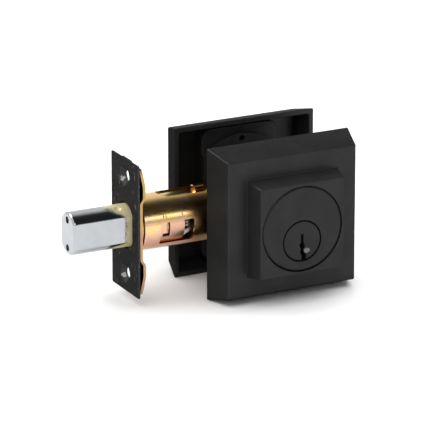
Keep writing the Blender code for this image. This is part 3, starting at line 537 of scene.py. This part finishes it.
def make_faceplate(black):
    low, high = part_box("faceplate")
    front = low.x
    back = front + FACEPLATE_THICKNESS
    outline = rounded(rectangle((low.y, low.z), (high.y, high.z)), 0.7 * MM)
    plate = prism("faceplate_fine", outline, (front, back), "x")
    tab_low = (front + 0.25 * MM, -5.8 * MM, high.z - MM)
    join(plate, box("edge_tab", tab_low, (back, 2.7 * MM, high.z + 0.5 * MM)))
    cut(plate, prism("opening", bolt_outline(6.95 * MM, 5.85 * MM, 10.0 * MM), (front - MM, back + MM), "x"))
    for name, side in SIDES.items():
        centre = (0, side * FACE_SCREW_Z)
        cup = [point for point in dimple_profile(front, CUP_WALL) if point[1] > front + 0.3 * MM]
        cup[-1] = (cup[-1][0], high.x)
        join(plate, revolve("cup_" + name, cup, "x", centre))
    for name, side in SIDES.items():
        centre = (0, side * FACE_SCREW_Z)
        cut(plate, revolve("countersink_" + name, dimple_profile(front, 0.0), "x", centre))
    soften(plate, 0.12 * MM)
    return finished(plate, black, "latch_front", "satin_black", "faceplate")


def make_backing_plate(zinc):
    low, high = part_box("backing_plate")
    step = high.x - low.x - BACKING_THICKNESS
    upper = [(12.5, 0), (14.1, step), (19.2, step), (25.9, 0)]
    outer = [(z * MM, out) for z, out in upper] + [(high.z - 1.1 * MM, 0)]
    line = [(-z, out) for z, out in reversed(outer)] + outer
    front = [(low.x + out, z) for z, out in line]
    back = [(low.x + BACKING_THICKNESS + out, z) for z, out in reversed(line)]
    plate = prism("backing_plate_fine", rounded(front + back, 0.9 * MM), (low.y, high.y), "y")
    reach = (low.x - MM, high.x + MM)
    trim = rounded(rectangle((low.y, -high.z), (high.y, high.z)), 4.5 * MM, 6)
    combine(plate, prism("round_corners", trim, reach, "x"), "INTERSECT")
    cut(plate, prism("opening", bolt_outline(7.1 * MM, 5.8 * MM, 9.7 * MM), reach, "x"))
    for name, side in SIDES.items():
        hole = rod(BACKING_HOLE_RADIUS, *reach)
        cut(plate, revolve("hole_" + name, hole, "x", (0, side * FACE_SCREW_Z)))
    soften(plate, 0.22 * MM)
    return finished(plate, zinc, "latch_front", "yellow_zinc", "backing_plate")


def make_bolt(chrome, hard):
    low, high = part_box("bolt")
    half_width, top = high.y, high.z
    tip = ((0.0, 0.85), (0.1, 0.66), (0.26, 0.50), (0.62, 0.14), (0.80, 0.04), (1.0, 0.0))
    loops = []
    for depth, inset in tip:
        trim = inset * MM
        loops.append((low.x + depth * MM, bolt_outline(half_width - trim, BOLT_FLAT - trim / 2, top - trim)))
    loops.append((high.x, bolt_outline(half_width, BOLT_FLAT, top)))
    bolt = loft("bolt_fine", "x", loops)
    for name in SIDES:
        node = "hardened_pin_" + name
        hole = rod(PIN_HOLE_RADIUS, low.x - MM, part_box(node)[1].x + 0.3 * MM)
        cut(bolt, revolve("pin_hole_" + name, hole, "x", axis_through(node), 32))
    bar_low, bar_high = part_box("drawbar")
    slot_low = (bar_low.x - 3 * MM, bar_low.y - 0.3 * MM, 0.0)
    slot_high = (high.x + MM, bar_high.y + 0.3 * MM, 5.0 * MM)
    cut(bolt, box("bar_slot", slot_low, slot_high))
    soften(bolt, 0.16 * MM, 28)
    punch = [(0.5 * MM, -0.55 * MM), (1.5 * MM, 0.0), (1.6 * MM, MM)]
    mark = revolve("stake_mark", punch, "z", steps=32)
    place = Matrix.Translation((*STAKE_MARK, top - 0.75 * MM))
    mark.data.transform(place @ Matrix.Rotation(STAKE_LEAN, 4, "X"))
    cut(bolt, mark)
    finished(bolt, chrome, "bolt", "satin_chrome", "bolt")
    for name in SIDES:
        node = "hardened_pin_" + name
        pin_low, pin_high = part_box(node)
        radius = (pin_high.z - pin_low.z) / 2
        profile = [(radius - 0.3 * MM, pin_low.x), (radius, pin_low.x + 0.3 * MM)]
        profile += [(radius, pin_high.x - 0.3 * MM), (radius - 0.3 * MM, pin_high.x)]
        pin = revolve("hardened_rod_" + name, profile, "x", axis_through(node), 32)
        finished(pin, hard, "bolt", "hardened_steel", node)


TUBE_START = -59.0 * MM
WINDOW_TOP = 2.3 * MM
WINDOW_BOTTOM = -7.3 * MM
TUBE_WINDOW = (-51.7 * MM, -36.5 * MM)
SLEEVE_WINDOW = (-40.5 * MM, -35.6 * MM)
TUBE_WALL = 0.7 * MM
THROUGH = 15 * MM  # further from the axis than either tube reaches
HOOK = ((-47.2, 2.0), (-48.0, 2.0), (-48.0, -2.8), (-50.4, -2.8), (-50.4, -4.3), (-47.2, -4.3))
INDEX_TAB = ((-2.2, 0), (-2.2, 1.6), (-1.5, 2.3), (1.5, 2.3), (2.2, 1.6), (2.2, 0))


def stamped_mark(name, x, z, radius):
    """A short upright dent across the tube's keyed side at (x, z)."""
    y = -math.sqrt(radius**2 - z**2)
    mark = box(name, (x - 0.18 * MM, -0.22 * MM, -1.2 * MM), (x + 0.18 * MM, 0.6 * MM, 1.2 * MM))
    lean = Matrix.Rotation(math.atan2(z, -y), 4, "X").inverted()
    mark.data.transform(Matrix.Translation((0, y, z)) @ lean)
    return mark


def make_bolt_tube(zinc):
    low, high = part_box("bolt_tube")
    outer = high.z
    inner = outer - TUBE_WALL
    start, end = TUBE_START, high.x
    profile = [
        (inner, start + 0.5 * MM),
        (inner + 0.15 * MM, start + 0.1 * MM),
        (outer - 0.35 * MM, start),
        (outer - 0.1 * MM, start + 0.12 * MM),
        (outer, start + 0.4 * MM),
        (outer, end - 0.2 * MM),
        (outer - 0.2 * MM, end),
        (inner + 0.1 * MM, end),
        (inner, end - 0.1 * MM),
    ]
    tube = revolve("bolt_tube_fine", profile, "x", steps=144, hollow=True)
    for name, side in SIDES.items():
        edges = sorted((side * (inner + 0.15 * MM), side * (outer - 0.1 * MM)))
        stake = box("stake_" + name, (low.x, -2.5 * MM, edges[0]), (start + MM, 2.5 * MM, edges[1]))
        join(tube, stake)
    window = rounded(rectangle((TUBE_WINDOW[0], WINDOW_BOTTOM), (TUBE_WINDOW[1], WINDOW_TOP)), 0.7 * MM)
    cut(tube, prism("window", window, (-THROUGH, THROUGH), "y"))
    half = 4.4 * MM
    nose = arc((-44 * MM, 0), half, math.pi / 2, 3 * math.pi / 2, 24)
    slot = nose + [(end + 2 * MM, -half), (end + 2 * MM, half)]
    cut(tube, prism("top_slot", slot, (6 * MM, THROUGH), "z"))
    seam_low = (start + 1.2 * MM, -outer - MM, WINDOW_TOP - 0.05 * MM)
    seam_high = (TUBE_WINDOW[0] - 0.9 * MM, -outer + 0.5 * MM, WINDOW_TOP + 0.3 * MM)
    cut(tube, box("seam", seam_low, seam_high))
    marks = {"mark_long": (-50.2, -49.0), "mark_short": (-41.6,)}
    for name, places in marks.items():
        for index, x in enumerate(places):
            cut(tube, stamped_mark(f"{name}_{index}", x * MM, 5.2 * MM, outer))
    soften(tube, 0.2 * MM, 50, 3)
    return finished(tube, zinc, "latch_front", "yellow_zinc", "bolt_tube")


def make_inner_sleeve(zinc):
    low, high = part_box("inner_sleeve")
    outer = -low.z
    inner = outer - TUBE_WALL
    profile = [(inner, low.x), (outer, low.x), (outer, high.x), (inner, high.x)]
    sleeve = revolve("inner_sleeve_fine", profile, "x", steps=128, hollow=True)
    window = rounded(rectangle((SLEEVE_WINDOW[0], WINDOW_BOTTOM), (SLEEVE_WINDOW[1], WINDOW_TOP)), 0.5 * MM)
    cut(sleeve, prism("window", window, (-THROUGH, THROUGH), "y"))
    outline = rounded([(x * MM, z * MM) for x, z in HOOK], 0.35 * MM)
    cut(sleeve, prism("hook_slot", outline, (-THROUGH, THROUGH), "y"))
    pocket = rounded(rectangle((-51.2 * MM, -4.9 * MM), (-48.2 * MM, 2.6 * MM)), 0.4 * MM)
    cut(sleeve, prism("pocket", pocket, (-THROUGH, -outer + 0.62 * MM), "y"))
    gap_low = (-51.5 * MM, -THROUGH, -6.6 * MM)
    cut(sleeve, box("pocket_gap", gap_low, (-51.1 * MM, 0.0, 1.9 * MM)))
    outline = rounded([(y * MM, inner + 0.2 * MM + z * MM) for y, z in INDEX_TAB], 0.4 * MM)
    join(sleeve, prism("index_tab", outline, (-31.5 * MM, -27.5 * MM), "x"))
    soften(sleeve, 0.12 * MM, 50)
    return finished(sleeve, zinc, "root", "yellow_zinc", "inner_sleeve")


def make_coil(name, node, wire, turns, steel, body):
    """A round-wire compression spring that fills its CAD node's box."""
    low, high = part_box(node)
    centre = (low + high) / 2
    radius = min(high.x - low.x, high.y - low.y) / 2 - wire
    curve = bpy.data.curves.new(name, "CURVE")
    curve.dimensions = "3D"
    curve.bevel_depth = wire
    curve.bevel_resolution = 3
    curve.use_fill_caps = True
    per_turn = 20
    count = turns * per_turn + 1
    spline = curve.splines.new("POLY")
    spline.points.add(count - 1)
    for step, point in enumerate(spline.points):
        angle = 2 * math.pi * step / per_turn
        part = step / (count - 1)
        x = centre.x + radius * math.cos(angle)
        y = centre.y + radius * math.sin(angle)
        z = low.z + wire + (high.z - low.z - 2 * wire) * part
        point.co = (x, y, z, 1)
    drawn = bpy.data.objects.new(name + "_line", curve)
    bpy.context.scene.collection.objects.link(drawn)
    bpy.context.view_layer.update()
    graph = bpy.context.evaluated_depsgraph_get()
    mesh = bpy.data.meshes.new_from_object(drawn.evaluated_get(graph))
    bpy.data.objects.remove(drawn, do_unlink=True)
    mesh.name = name
    obj = bpy.data.objects.new(name, mesh)
    bpy.context.scene.collection.objects.link(obj)
    return finished(obj, steel, body, "bright_steel", node)


def make_lever(steel):
    low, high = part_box("detent_lever")
    radius = 0.85 * MM
    start = Vector((low.x + radius, low.z + radius))
    end = Vector((high.x - radius, high.z - radius))
    lean = math.atan2(end.y - start.y, end.x - start.x)
    quarter = math.pi / 2
    outline = arc(end, radius, lean - quarter, lean + quarter, 12)
    outline += arc(start, radius, lean + quarter, lean + 3 * quarter, 12)
    lever = prism("detent_lever_fine", outline, (low.y, high.y), "y")
    soften(lever, 0.2 * MM, 50, 3)
    return finished(lever, steel, "root", "bright_steel", "detent_lever")


# The roses and the cylinder.


ROSE_HALF = 32.75 * MM
ROSE_WALL = 2.1 * MM
BOSS_HALF = 20.8 * MM
SCREW_Z = 19 * MM
SCREW_HOLE_RADIUS = 2.3 * MM
LOCATING_HOLE_Z = 23.5 * MM


def make_rose(name, back, outward, inset, depth, boss_inset, boss_depth):
    """A hollow square cover with a boss, as one skin from the hollow's floor round to the boss."""
    half = ROSE_HALF
    wall = ROSE_WALL
    inner = half - wall
    slope = inset / depth
    front = depth - 0.55 * MM
    boss_foot = BOSS_HALF + 0.45 * MM
    profile = [
        (inner - slope * (depth - wall) - 0.5 * MM, depth - wall, 1.2),
        (inner - slope * (depth - wall) + 0.1 * MM, depth - wall - 0.5 * MM, 1.2),
        (inner - 0.1 * MM, 0.35 * MM, 1.2),
        (inner + 0.1 * MM, 0.08 * MM, 1.0),
        (inner + 0.3 * MM, 0, 1.0),
        (half - 0.35 * MM, 0, 0.6),
        (half - 0.1 * MM, 0.08 * MM, 0.6),
        (half, 0.35 * MM, 0.65),
        (half - slope * front, front, 0.7),
        (half - inset - 0.10 * MM, depth - 0.28 * MM, 0.75),
        (half - inset - 0.38 * MM, depth - 0.08 * MM, 0.85),
        (half - inset - 0.85 * MM, depth, 0.9),
        (boss_foot, depth, 0.8),
        (boss_foot - 0.3 * MM, depth + 0.1 * MM, 0.7),
        (BOSS_HALF, depth + 0.45 * MM, 0.6),
        (BOSS_HALF - boss_inset, depth + boss_depth - 0.4 * MM, 0.6),
        (BOSS_HALF - boss_inset - 0.12 * MM, depth + boss_depth - 0.12 * MM, 0.6),
        (BOSS_HALF - boss_inset - 0.4 * MM, depth + boss_depth, 0.6),
    ]
    loops = [(back + outward * along, square_loop(size, corner * MM)) for size, along, corner in profile]
    return loft(name, "y", loops)


def make_exterior_rose(black):
    low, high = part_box("exterior_rose")
    boss_depth = 9.1 * MM
    depth = high.y - low.y - boss_depth
    rose = make_rose("exterior_rose_fine", high.y, -1, 3.3 * MM, depth, 1.4 * MM, boss_depth)
    opening = rod(18.4 * MM, low.y - MM, high.y)
    off_centre = (-0.12 * MM, -0.1 * MM)
    cut(rose, revolve("cylinder_opening", opening, "y", off_centre, FINE_ROUND))
    soften(rose, 0.15 * MM, 60)
    return finished(rose, black, "root", "satin_black", "exterior_rose")


def make_interior_rose(black):
    low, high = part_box("interior_rose")
    boss_depth = 3.0 * MM
    depth = high.y - low.y - boss_depth
    rose = make_rose("interior_rose_fine", low.y, 1, 3.1 * MM, depth, 0.9 * MM, boss_depth)
    hood = rounded(rectangle((-17.8 * MM, -28.9 * MM), (17.8 * MM, 28.9 * MM)), 5.5 * MM, 8)
    hood_face = 19 * MM
    hood_side = prism("hood", hood, (hood_face, low.y + depth - MM), "y")
    soften(hood_side, 0.5 * MM, 60, 3)
    join(rose, hood_side)
    plate_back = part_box("mounting_plate")[1].y
    pocket = rod(4.1 * MM, hood_face - MM, plate_back + 3.3 * MM)
    for name in SIDES:
        centre = axis_through("mounting_screw_" + name)
        cut(rose, revolve("head_pocket_" + name, pocket, "y", centre))
    bore = rod(4.3 * MM, hood_face - MM, high.y + MM)
    cut(rose, revolve("shaft_bore", bore, "y", (0, HUB_Z)))
    set_low, set_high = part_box("rose_set_screw")
    bore = rod(1.8 * MM, low.z - MM, set_high.z + MM)
    cut(rose, revolve("set_screw_bore", bore, "z", (0, (set_low.y + set_high.y) / 2), 32))
    for name, side in SIDES.items():
        edges = sorted((side * (high.z - 3 * MM), side * (high.z + MM)))
        notch = rod(0.5 * MM, *edges)
        cut(rose, revolve("pry_notch_" + name, notch, "z", (0, low.y), 32))
    soften(rose, 0.2 * MM, 60)
    return finished(rose, black, "interior", "satin_black", "interior_rose")


def make_cylinder_housing(black):
    low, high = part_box("cylinder_housing")
    face = low.y
    flange = (-18 * MM, -15 * MM)
    body = 18.1 * MM
    rim = 24.8 * MM
    profile = [
        (NEAR_AXIS, face + 0.55 * MM),
        (9.4 * MM, face + 0.5 * MM),
        (13.5 * MM, face + 0.3 * MM),
        (16.6 * MM, face + 0.05 * MM),
        (17.2 * MM, face),
        (17.5 * MM, face + 0.05 * MM),
        (body, face + 0.6 * MM),
        (body, flange[0] - 0.3 * MM),
        (body + 0.3 * MM, flange[0]),
        (rim - 0.3 * MM, flange[0]),
        (rim, flange[0] + 0.3 * MM),
        (rim, flange[1] - 0.3 * MM),
        (rim - 0.3 * MM, flange[1]),
        (NEAR_AXIS, flange[1]),
    ]
    housing = revolve("cylinder_housing_fine", profile, "y", steps=FINE_ROUND)
    boss = rod(11.5 * MM, flange[0], -12.3 * MM)
    join(housing, revolve("rear_boss", boss, "y", (0, HUB_Z), 64))
    bore = rod(8.9 * MM, face - MM, -11 * MM)
    cut(housing, revolve("plug_bore", bore, "y", (0, HUB_Z), FINE_ROUND))
    post = rod(4.2 * MM, -25.9 * MM, high.y)
    for name in SIDES:
        node = "mounting_screw_" + name
        centre = axis_through(node)
        join(housing, revolve("screw_post_" + name, post, "y", centre))
        hole = rod(SCREW_HOLE_RADIUS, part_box(node)[0].y - 0.3 * MM, high.y + MM)
        cut(housing, revolve("screw_bore_" + name, hole, "y", centre))
    soften(housing, 0.15 * MM, 60)
    return finished(housing, black, "root", "satin_black", "cylinder_housing")


KEYWAY = (
    (-0.6, 3.1),
    (0.5, 3.1),
    (0.6, -0.3),
    (1.2, -1.7),
    (1.0, -3.4),
    (1.0, -5.2),
    (1.9, -5.8),
    (1.9, -9.5),
    (-0.3, -9.5),
    (-0.3, -6.2),
    (-1.0, -5.0),
    (-0.7, -3.2),
    (-1.4, -1.6),
    (-0.6, -0.5),
)
# The ward is a lighter metal patch on the plug's face beside the keyway: partly a real bare ledge, partly a
# painted highlight where that ledge catches the light.
WARD_GLINT = ((0.6, -3.5), (2.1, -3.0), (3.7, -3.8), (3.5, -4.9), (1.9, -5.5), (0.9, -5.0))


def make_plug(black, bare_steel_and_glint):
    low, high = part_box("cylinder_plug")
    radius = high.x
    profile = [
        (NEAR_AXIS, low.y),
        (radius - 0.55 * MM, low.y),
        (radius - 0.15 * MM, low.y + 0.2 * MM),
        (radius, low.y + 0.6 * MM),
        (radius, high.y),
        (NEAR_AXIS, high.y),
    ]
    plug = revolve("cylinder_plug_fine", profile, "y", (0, HUB_Z), FINE_ROUND)
    outline = rounded([(x * MM, HUB_Z + z * MM) for x, z in KEYWAY], 0.25 * MM, 3)
    cut(plug, prism("keyway", outline, (low.y - MM, -16 * MM), "y"))
    soften(plug, 0.12 * MM, 60)
    finished(plug, black, "plug", "satin_black", "cylinder_plug")
    # The lighter ward patch: partly real bare metal, partly a painted highlight.
    outline = rounded([(x * MM, HUB_Z + z * MM) for x, z in WARD_GLINT], 0.25 * MM, 3)
    ward_glint = prism("keyway_ward_glint", outline, (low.y - 0.06 * MM, low.y + 1.2 * MM), "y")
    soften(ward_glint, 0.3 * MM, 50)
    finished(ward_glint, bare_steel_and_glint, "plug", "bright_steel")


# The thumbturn side.


def make_mounting_plate(black):
    low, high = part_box("mounting_plate")
    radius = high.z
    half_width = high.x
    spread = math.asin(half_width / radius)
    quarter = math.pi / 2
    outline = arc((0, 0), radius, quarter - spread, quarter + spread, 36)
    outline += arc((0, 0), radius, -quarter - spread, -quarter + spread, 36)
    plate = prism("mounting_plate_fine", outline, (low.y, high.y), "y")
    span = (low.y - MM, high.y + MM)
    holes = {"shaft_hole": (HUB_Z, 4.6 * MM)}
    for name, side in SIDES.items():
        holes["screw_hole_" + name] = (side * SCREW_Z, SCREW_HOLE_RADIUS)
        holes["locating_hole_" + name] = (side * LOCATING_HOLE_Z, 1.3 * MM)
    for name, (z, hole_radius) in holes.items():
        cut(plate, revolve(name, rod(hole_radius, *span), "y", (0, z)))
    soften(plate, 0.35 * MM, 50, 3)
    return finished(plate, black, "interior", "satin_black", "mounting_plate")


def make_screws(threaded):
    for name in SIDES:
        node = "mounting_screw_" + name
        low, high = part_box(node)
        centre = axis_through(node)
        head = (high.z - low.z) / 2
        start = high.y - 2.2 * MM
        shank = 2.0 * MM
        profile = [
            (shank - 0.7 * MM, low.y),
            (shank, low.y + 0.9 * MM),
            (shank, start),
            (head - 0.1 * MM, start),
            (head, start + 0.15 * MM),
            (head, start + 0.9 * MM),
            (head * 0.9, start + 1.6 * MM),
            (head * 0.65, start + 2.05 * MM),
            (head * 0.3, high.y),
        ]
        screw = revolve(node + "_fine", profile, "y", centre)
        for blade in ((2.0, 0.4), (0.4, 2.0)):
            half = [size * MM for size in blade]
            low_corner = (-half[0], high.y - 1.3 * MM, centre[1] - half[1])
            high_corner = (half[0], high.y + MM, centre[1] + half[1])
            cut(screw, box("cross_recess", low_corner, high_corner))
        finished(screw, threaded, "interior", "bright_steel", node)


def make_thumbturn(black):
    low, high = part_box("thumbturn")
    centre = (0, HUB_Z)
    half_length = high.x
    half_thickness = 4.6 * MM
    paddle = 35 * MM
    levels = (
        (0.0, 1.3, 1.1, 1.6),
        (0.25, 0.6, 0.5, 1.8),
        (0.9, 0.0, 0.0, 2.0),
        (6.0, 0.15, 0.35, 2.0),
        (11.0, 0.45, 0.9, 2.0),
        (14.3, 0.8, 1.35, 1.8),
        (15.1, 1.2, 1.8, 1.6),
        (15.5, 2.0, 2.6, 1.2),
    )
    loops = []
    for rise, short, thin, corner in levels:
        u, v = half_length - short * MM, half_thickness - thin * MM
        outline = rounded(rectangle((-u, -v), (u, v)), corner * MM, 6)
        loops.append((paddle + rise * MM, shifted(outline, centre)))
    turn = loft("thumbturn_fine", "y", loops)
    neck = [(4.0 * MM, low.y), (4.0 * MM, 31.9 * MM), (6.6 * MM, 31.9 * MM), (7.0 * MM, 32.3 * MM)]
    neck += [(6.6 * MM, 34.0 * MM), (7.0 * MM, 36.0 * MM)]
    join(turn, revolve("turn_neck", neck, "y", centre, 64))
    socket_low = (-3.4 * MM, low.y - MM, HUB_Z - 1.25 * MM)
    socket_high = (3.4 * MM, 36.8 * MM, HUB_Z + 1.25 * MM)
    cut(turn, box("socket", socket_low, socket_high))
    soften(turn, 0.15 * MM, 60)
    return finished(turn, black, "thumbturn", "satin_black", "thumbturn")


# The studio.

CAMERA_AZIMUTH = -26.73  # degrees round from straight in front, towards -X
CAMERA_ELEVATION = 18.67
CAMERA_DISTANCE = 1495 * MM
CAMERA_TARGET = Vector((-55.04, -66.97, 23.25)) * MM
CAMERA_LENS = 317.4


def from_angles(azimuth, elevation):
    """The direction towards a viewer at these angles, in degrees."""
    round_z, up = math.radians(azimuth), math.radians(elevation)
    return Vector((math.sin(round_z) * math.cos(up), -math.cos(round_z) * math.cos(up), math.sin(up)))


def look_at(obj, place, target):
    obj.location = place
    obj.rotation_euler = (target - place).to_track_quat("-Z", "Y").to_euler()


def make_camera():
    camera = bpy.data.objects.new("camera", bpy.data.cameras.new("camera"))
    bpy.context.scene.collection.objects.link(camera)
    camera.data.lens = CAMERA_LENS
    camera.data.clip_end = 20
    direction = from_angles(CAMERA_AZIMUTH, CAMERA_ELEVATION)
    look_at(camera, CAMERA_TARGET + CAMERA_DISTANCE * direction, CAMERA_TARGET)
    bpy.context.scene.camera = camera


def make_light(name, azimuth, elevation, distance, size, power, glossy=True, diffuse=True):
    lamp = bpy.data.lights.new(name, "AREA")
    lamp.shape = "RECTANGLE"
    lamp.size, lamp.size_y = size
    lamp.energy = power
    obj = bpy.data.objects.new(name, lamp)
    bpy.context.scene.collection.objects.link(obj)
    look_at(obj, distance * from_angles(azimuth, elevation), Vector((0, 0, 0)))
    obj.visible_glossy = glossy
    obj.visible_diffuse = diffuse
    obj.visible_camera = False


DARK_TOWARDS = (0.10, -0.45, 0.89)  # the unlit patch of the tent, high up in front
TENT = ((-1.0, 1.0), (0.40, 1.0), (0.55, 0.80), (0.70, 0.28), (0.82, 0.04), (1.0, 0.02))


def make_world():
    """A pale light tent with one dark patch. TENT holds (nearness to the patch, brightness)."""
    world = bpy.data.worlds.new("light_tent")
    world.use_nodes = True
    nodes, links = world.node_tree.nodes, world.node_tree.links
    near = nodes.new("ShaderNodeVectorMath")
    near.operation = "DOT_PRODUCT"
    links.new(nodes.new("ShaderNodeTexCoord").outputs["Generated"], near.inputs[0])
    near.inputs[1].default_value = DARK_TOWARDS
    span = nodes.new("ShaderNodeMapRange")
    span.inputs["From Min"].default_value = -1
    links.new(near.outputs["Value"], span.inputs["Value"])
    ramp = nodes.new("ShaderNodeValToRGB")
    fill_ramp(ramp, [((nearness + 1) / 2, [brightness] * 3) for nearness, brightness in TENT])
    links.new(span.outputs["Result"], ramp.inputs["Fac"])
    links.new(ramp.outputs["Color"], nodes["Background"].inputs["Color"])
    bpy.context.scene.world = world


FLOOR_HALF = 4.0


def make_floor(level, material):
    corner = (FLOOR_HALF, FLOOR_HALF)
    outline = rectangle((-FLOOR_HALF, -FLOOR_HALF), corner)
    floor = mesh_object("floor", [(x, y, level) for x, y in outline], [(0, 1, 2, 3)])
    floor.data.materials.append(material)


def make_studio():
    make_camera()
    make_world()
    make_floor(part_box("exterior_rose")[0].z - 0.2 * MM, pale_floor())
    make_light("overhead", 0, 88, 1.6, (3.0, 3.0), 62, glossy=False)
    make_light("front_softbox", 28, 26, 1.8, (0.9, 0.35), 2.4)
    make_light("rim_softbox", -136, 45, 1.6, (0.6, 0.4), 20, diffuse=False)
    make_light("key_left", -47, 40, 1.6, (0.25, 0.25), 4, diffuse=False)
    bpy.context.scene.view_settings.view_transform = "Standard"


def dress_frame(frame, materials):
    """Gives each CAD node that stays its material."""
    for material, names in materials.items():
        for name in names:
            node = frame["nodes"][name]
            node.data.materials.clear()
            node.data.materials.append(material)


def numbered(stem):
    return [f"{stem}_{index}" for index in range(1, 6)]


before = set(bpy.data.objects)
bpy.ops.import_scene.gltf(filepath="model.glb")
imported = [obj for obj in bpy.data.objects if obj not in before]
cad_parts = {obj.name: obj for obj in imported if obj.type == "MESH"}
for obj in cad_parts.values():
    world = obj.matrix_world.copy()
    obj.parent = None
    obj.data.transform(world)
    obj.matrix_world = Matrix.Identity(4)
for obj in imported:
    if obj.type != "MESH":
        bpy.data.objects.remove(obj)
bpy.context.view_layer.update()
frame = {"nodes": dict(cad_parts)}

black = powder_black()
turned = turned_black()
zinc = yellow_zinc("yellow_zinc")
warm_zinc = yellow_zinc("warm_zinc", 0.1, 0.85)
chrome = bolt_chrome()
steel = plain_metal("bright_steel", (0.50, 0.51, 0.52), (0.64, 0.65, 0.66), 0.30)
# Lighter metal for the keyway ward: partly real bare steel, partly a painted highlight.
bare_steel_and_glint = plain_metal("bare_steel_and_glint", (0.10, 0.10, 0.10), (0.20, 0.20, 0.19), 0.45)
brass = plain_metal("brass", (0.56, 0.40, 0.15), (0.74, 0.56, 0.26), 0.28)
hard = plain_metal("hardened_steel", (0.05, 0.05, 0.055), (0.10, 0.10, 0.105), 0.40)
threaded = threaded_steel()

make_studio()
make_faceplate(scuffed_black_with_glint())
make_backing_plate(yellow_zinc("dull_zinc", 0.3, 0.55))
make_bolt(chrome, hard)
make_bolt_tube(zinc)
make_inner_sleeve(warm_zinc)
make_coil("detent_coil", "detent_spring", 0.36 * MM, 3, steel, "root")
make_lever(steel)
make_exterior_rose(black)
make_cylinder_housing(turned)
make_plug(turned, bare_steel_and_glint)
make_interior_rose(black)
make_mounting_plate(black)
make_screws(threaded)
make_thumbturn(black)

dress_frame(
    frame,
    {
        zinc: ["case_plate_outer", "case_plate_inner"],
        steel: ["case_spacer_front", "case_spacer_rear", "hub_cam", "tailpiece", "drawbar"]
        + ["plug_cam", "thumbturn_clip"]
        + numbered("pin_spring"),
        brass: ["bolt_guide", "pin_chamber_cover"] + numbered("key_pin") + numbered("driver_pin"),
        hard: ["rose_set_screw"],
        nylon(): ["thumbturn_washer"],
    },
)
